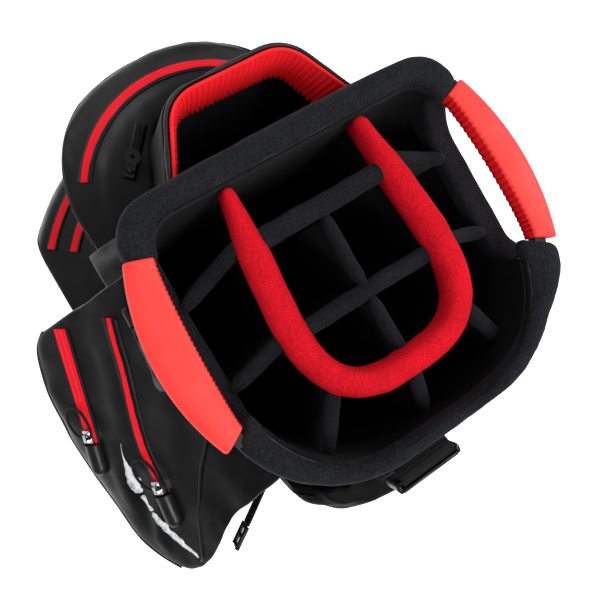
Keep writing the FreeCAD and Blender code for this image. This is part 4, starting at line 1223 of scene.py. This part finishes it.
def side_zip(name, side_name):
    side = SIDES[side_name]
    points = zip_line(name, 200)

    def frames(share):
        i = share * 200
        k = min(199, int(i))
        v = points[k].lerp(points[k + 1], i - k)
        if name == "inner":
            wave = -2.6 * math.sin(2 * math.pi * share) * smooth(share, 0, 0.3) * smooth(1 - share, 0, 0.3)
            v = v + Vector((wave, 0, 0))
        along = (points[k + 1] - points[k]).normalized()
        w = v + right_of(along)
        middle = on_slope(v.x, v.y, 0.3, side)
        across = (on_slope(w.x, w.y, 0.3, side) - middle).normalized()
        up = (on_slope(v.x, v.y, 1.3, side) - middle).normalized()
        return middle, across, up

    def opening(share):
        return 6.9 if name == "outer" else 2.6 + 1.3 * smooth(share, 0.1, 0.9)

    # the lips of the side zips take the same darker copy of the coated fabric: painted shade
    zip_band(f"zip_band_{name}_{side_name}", frames, 7.4 if name == "outer" else 6.3, opening, "zip_red",
             [f"zip_{name}_{side_name}"], cloth="coated_shaded_side")


def front_zip(name):
    pocket, radius, half_sweep = FRONT_ZIPS[name]
    p = FRONT[pocket]
    inner, outer, fall = p["shoulder"]
    tilt = math.atan2(fall, outer - inner)
    drop = p["top"] + (radius - inner) * math.tan(tilt) - 0.5

    def frames(share):
        angle = -half_sweep + 2 * half_sweep * share
        middle = turned(p, radius, angle, drop)
        out = Vector((math.sin(math.radians(angle)), -math.cos(math.radians(angle)), 0))
        across = out * math.cos(tilt) - UP * math.sin(tilt)
        up = out * math.sin(tilt) + UP * math.cos(tilt)
        return middle, across, up

    def opening(share):
        return 3.4 + 1.9 * math.sin(math.pi * share) if name == "front_upper" else 5.0

    zip_band(f"zip_band_{name}", frames, 6.3, opening, "zip_red", [f"zip_{name}"])


def valuables_zip():
    a, b = flat(VALUABLES_ZIP)
    along = (b - a).normalized()

    def frames(share):
        v = a.lerp(b, share)
        return at(v.x, v.y, 119.2), right_of(along), UP

    zip_band("zip_band_valuables", frames, 4.9, lambda share: 2.4, "zip_black", ["zip_valuables"])


for side_name in SIDES:
    for zip_name in SIDE_ZIPS:
        side_zip(zip_name, side_name)
for zip_name in FRONT_ZIPS:
    front_zip(zip_name)
valuables_zip()


# ---- print on the right pocket's leaning top -------------------------------------------------
def print_strip():
    """Thin worn print along the pocket's lower edge: plain ragged streaks with gaps."""
    cover = bpy.data.objects["side_cover_right"].data
    skin = BVHTree.FromPolygons([v.co for v in cover.vertices], [list(f.vertices) for f in cover.polygons])
    down_slope = Vector((-DIAGONAL, 0, -DIAGONAL))

    def on_cover(t, s, n):
        hit = skin.ray_cast(on_slope(t, s, 25.0), down_slope)[0]
        return (hit or on_slope(t, s, 0.0)) - down_slope * n * MM

    count = 150
    for part, (start, stop) in enumerate(((0.0, 0.40), (0.425, 0.56), (0.57, 1.0))):
        upper, under = [], []
        for i in range(round(count * (stop - start)) + 1):
            t = start + i / count
            wide = 0.5 + 6.6 * math.exp(-((t - 0.30) / 0.13) ** 2)
            wide += 3.2 * smooth(t, 0.42, 0.6) * (1 - 0.7 * smooth(t, 0.85, 1))
            end = abs(t - (start + stop) / 2) * 2 / (stop - start)
            wide *= smooth(t, -0.02, 0.2) * (1 - 0.6 * smooth(end, 0.9, 1))
            down = 97.0 - 5.0 * t ** 2 + 17.0 * math.sin(math.pi * min(1.0, t * 1.04)) ** 0.8
            along = 42.0 + 118.0 * t
            low = wide * (1.0 + 0.6 * ripple(t * 17, 1 + part, 0))
            high = wide * (0.8 + 0.8 * ripple(t * 21, 7 + part, 0))
            for n, row in ((-0.6, under), (0.45, upper)):
                row.append([on_cover(down + low, along, n), on_cover(down + (low - high) / 2, along, n),
                            on_cover(down - high, along, n)])
        rings = [a + b[::-1] for a, b in zip(under, upper)]
        loft(f"print_strip_{part + 1}", rings, "print", "bag")


# ---- strap: pad, webbing and buckles ---------------------------------------------------------
PAD_TOP, PAD_FOOT = 102, 500
PAD_SECTIONS = [(106.0, 25.0, 181.0, 25.0, 2.0, 400.0), (118.0, 60.0, 197.0, 44.0, 21.0, 100.0),
                (142.0, 82.0, 195.0, 50.0, 33.0, 90.0), (190.0, 84.0, 194.0, 50.0, 35.0, 90.0),
                (290.0, 82.0, 186.0, 44.0, 35.0, 95.0), (420.0, 74.0, 173.0, 38.0, 28.0, 130.0),
                (500.0, 58.0, 164.0, 26.0, 14.0, 400.0)]


def strap_row(drop):
    """Middle, half width, turn and bend of the strap pad at a drop."""
    for a, b in zip(PAD_SECTIONS, PAD_SECTIONS[1:]):
        if drop <= b[0]:
            t = smooth(drop, a[0], b[0])
            return [p + (q - p) * t for p, q in zip(a, b)][1:]
    return list(PAD_SECTIONS[-1][1:])


def pad_point(drop, a, b):
    """Point of the strap pad at a drop: a across it and b off its bent middle."""
    x, y, _, turn, bend = strap_row(drop)
    c, s = math.cos(math.radians(turn)), math.sin(math.radians(turn))
    b -= bend - math.sqrt(bend ** 2 - a ** 2)
    return at(x + a * c + b * s, y - a * s + b * c, drop)


def shoulder_pad():
    rings = []
    drops = [PAD_TOP + (PAD_FOOT - PAD_TOP) * (i / 44) ** 1.25 for i in range(45)]
    for drop in drops:
        half = strap_row(drop)[2]
        thick = 6.8 * (0.85 + 0.15 * smooth(min(drop - PAD_TOP, PAD_FOOT - drop), 0, 16))
        row = []
        for k in range(-8, 9):
            a = k / 8
            row.append((a * (half + 2.5), thick * (1 - abs(a) ** 5) ** 0.5 * (0.9 + 0.1 * math.cos(a * 9))))
        rings.append([pad_point(drop, a, 1.55 * b) for a, b in row]
                     + [pad_point(drop, a, -1.1 * b) for a, b in row[-2:0:-1]])
    pad = loft("shoulder_pad", rings, "pad_cloth", "bag", ["shoulder_strap"])
    puff(pad, 4.0, 4.0, 3.0, 8)
    for sign in (-1, 1):
        edge = [pad_point(drop, sign * (strap_row(drop)[2] - 5.0), 7.9) for drop in drops[5:-5]]
        tube(f"pad_seam_{'right' if sign > 0 else 'left'}", edge, 1.0, "thread", "bag")


TAB = ((111.5, 117.5), (166.0, 152.0))      # the tab, from the shell to its small buckle


def ribbon(name, path, half, thick, material, replaces=()):
    """Webbing along (point, across, out) rows, with a raised selvedge."""
    rings = []
    for point, across, out in path:
        section = [(-1, -0.5), (-0.94, -0.62), (0.94, -0.62), (1, -0.5), (1, 0.5), (0.94, 0.62), (0.8, 0.5),
                   (-0.8, 0.5), (-0.94, 0.62), (-1, 0.5)]
        rings.append([point + (across * a * half + out * b * thick) * MM for a, b in section])
    return loft(name, rings, material, "bag", replaces)


def strap_webbing():
    x_axis = Vector((1, 0, 0))
    line = [(148.2, 58), (148.4, 50), (149.5, 44.5), (157, 38), (166, 31.6), (170.5, 29.4), (173.6, 30.2),
            (175, 33.5), (175, 56), (175, 80), (175.6, 95), (177, 107)]
    points = resampled([(0, y, -d) for y, d in line], 2.5)
    rows = []
    for i, p in enumerate(points):
        along = heading(points, i)
        rows.append((at(25.0, p.y, -p.z), x_axis, Vector((0, -along.z, along.y)) * -1))
    ribbon("upper_webbing", rows, 25.0, 2.0, "web", ["strap_webbing"])
    rows = []
    for i in range(31):
        t = i / 30
        x, y, drop = 58 - 28 * smooth(t, 0, 0.75), 164 - 17.4 * smooth(t, 0, 0.75), 500 + 140 * t
        turn = math.radians(14 * (1 - smooth(t, 0, 0.7)))
        rows.append((at(x, y, drop), Vector((math.cos(turn), -math.sin(turn), 0)),
                     Vector((math.sin(turn), math.cos(turn), 0))))
    ribbon("lower_webbing", rows, 20.0, 2.0, "web")
    start, end = flat(TAB)
    along = (end - start).normalized()
    rows = []
    for i in range(15):
        v = start.lerp(end, i / 14)
        rows.append((at(v.x, v.y, 103.0 + 1.2 * math.sin(i / 3)), UP, -right_of(along)))
    ribbon("tab_ribbon", rows, 8.5, 1.8, "web")


def strap_buckle():
    """Moulded ladder buckle of the strap."""
    x0, x1, y = -3.0, 53.0, 175.0
    for name, dy in (("front", 3.4), ("back", -3.4)):
        rings = []
        for x, grow in ((x0 - 1.2, 0.45), (x0 - 0.4, 0.8), (x0 + 1.4, 1.0),
                        (x1 - 1.4, 1.0), (x1 + 0.4, 0.8), (x1 + 1.2, 0.45)):
            ring = []
            for k in range(16):
                a = 2 * math.pi * k / 16
                dx = math.copysign(abs(math.cos(a)) ** 0.5, math.cos(a)) * 1.9 * grow
                dz = math.copysign(abs(math.sin(a)) ** 0.35, math.sin(a)) * 12.6 * grow
                ring.append(at(x, y + dy + dx, 43.6 + dz))
            rings.append(ring)
        loft(f"strap_buckle_{name}", rings, "plastic", "strap_buckle",
             ["strap_buckle"] if name == "front" else ())
    for x in (x0 - 0.4, x1 + 0.4):
        turns = [2 * math.pi * k / 12 for k in range(12)]
        rings = [[at(x + 2.0 * math.cos(a), y + 4.6 * math.sin(a), d) for a in turns]
                 for d in (32.0, 34.0, 53.0, 55.0)]
        end = "left" if x < 0 else "right"
        loft(f"strap_buckle_end_{end}", rings, "plastic", "strap_buckle")


def tab_lock():
    """Small ladder buckle on the end of the tab: two rails and three bars."""
    start, end = flat(TAB)
    along = (end - start).normalized()

    def spot(a, drop):
        return beside(end, along, a, drop)

    for name, drop in (("upper", 94.8), ("lower", 111.2)):
        tube(f"tab_lock_rail_{name}", [spot(a, drop) for a in (1.4, 6, 11, 16, 20.4)], 2.1, "piping",
             "tab_buckle", sides=10, replaces=["tab_buckle"] if name == "upper" else ())
    for k, a in enumerate((2.6, 10.8, 19.2)):
        tube(f"tab_lock_bar_{k + 1}", [spot(a, drop) for drop in (94.8, 100, 106, 111.2)], 1.6, "piping",
             "tab_buckle", sides=10)


def umbrella_plate():
    """Moulded umbrella loop: a flat plate with a rounded rear end and room for the two lugs of its hinge."""
    outline = [(4, -50), (8.4, -51), (10.6, -47), (12.4, -30), (14.4, -14), (17.0, 1), (20.4, 8), (21.4, 13),
               (19.4, 18), (14.0, 19.6), (4, 18.6), (4, 3.4), (9.3, 3.2), (9.3, -5.2), (4, -5.4), (4, -26.8),
               (9.3, -27), (9.3, -35.2), (4, -35.4)]
    points = resampled(flat(outline), 1.6, True)
    normals = normals_of(points, True)
    sign = 1 if normals[0].dot(points[0] - Vector((10, -16, 0))) > 0 else -1
    rings = []
    for n, inset in ((2.9, 1.0), (3.5, 0.25), (5.0, 0.0), (6.3, 0.35), (7.0, 1.3)):
        rings.append([on_slope(q.x - sign * m.x * inset, q.y - sign * m.y * inset, n)
                      for q, m in zip(points, normals)])
    loft("umbrella_plate", rings, "plastic", "umbrella_loop", ["umbrella_loop"])
    turns = [math.pi * k / 8 for k in range(16)]
    pin = [[on_slope(4.5 + 1.9 * math.cos(a), y, 5.0 + 1.9 * math.sin(a)) for a in turns]
           for y in (-38, -37, 5, 6)]
    loft("umbrella_pin", pin, "dark_metal", "umbrella_loop")


print_strip()
shoulder_pad()
strap_webbing()
strap_buckle()
tab_lock()
umbrella_plate()


# ---- finishes of the carried-over parts ------------------------------------------------------
CARRIED = {
    "base": ("top_collar", "base_moulding"), "lining": ("putter_tube",), "tread": ("base_tread",),
    "alloy": ("stay_rods",), "dark_metal": ("base_rivets", "slider_valuables"),
    "plastic": ("umbrella_bracket",), "piping": ("pull_ring_valuables",),
    "rubber": ("zip_garages", "pull_front_upper", "pull_front_lower", "pull_front_middle"),
    "chrome": ("slider_front_upper", "slider_front_lower", "slider_front_middle", "slider_outer_right",
               "slider_outer_left", "slider_inner_right", "slider_inner_left"),
}
for material_name, node_names in CARRIED.items():
    for node_name in node_names:
        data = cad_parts[node_name].data
        data.materials.clear()
        data.materials.append(MATERIALS[material_name])


# ---- floor, light and background -------------------------------------------------------------
def floor():
    half = 6.0
    data = bpy.data.meshes.new("floor")
    corners = [(-half, -half, 0), (half, -half, 0), (half, half, 0), (-half, half, 0)]
    data.from_pydata(corners, [], [(0, 1, 2, 3)])
    finish = Finish("floor_paint", 0.9, Emission_Color=(1.0, 1.0, 1.0, 1.0), Emission_Strength=0.75)
    finish.colours(finish.noise(900.0, 2.0), [(0.0, (0.90, 0.90, 0.90)), (1.0, (0.93, 0.93, 0.93))])
    data.materials.append(finish.material)
    obj = bpy.data.objects.new("floor", data)
    bpy.context.scene.collection.objects.link(obj)


def area_light(name, place, aim, size, power):
    data = bpy.data.lights.new(name, "AREA")
    data.shape = "DISK"
    data.size = size
    data.energy = power
    obj = bpy.data.objects.new(name, data)
    obj.location = place
    obj.rotation_euler = (Vector(aim) - Vector(place)).to_track_quat("-Z", "Y").to_euler()
    bpy.context.scene.collection.objects.link(obj)


floor()
area_light("key", (0.3, 1.5, 2.7), (0, 0, 0.8), 1.0, 27)
area_light("fill", (0.3, -1.9, 2.0), (0, 0, 0.75), 1.2, 14)
area_light("rim_light", (-1.6, 0.3, 2.0), (0, 0, 0.8), 1.0, 16)
area_light("well_light", (-0.1, 0.5, 2.4), (0, -0.16, 0.84), 0.5, 8)
world = bpy.data.worlds.new("studio")
bpy.context.scene.world = world
world.use_nodes = True
world.node_tree.nodes["Background"].inputs["Color"].default_value = (1.0, 1.0, 1.0, 1.0)
world.node_tree.nodes["Background"].inputs["Strength"].default_value = 0.36
bpy.context.scene.view_settings.view_transform = "Standard"
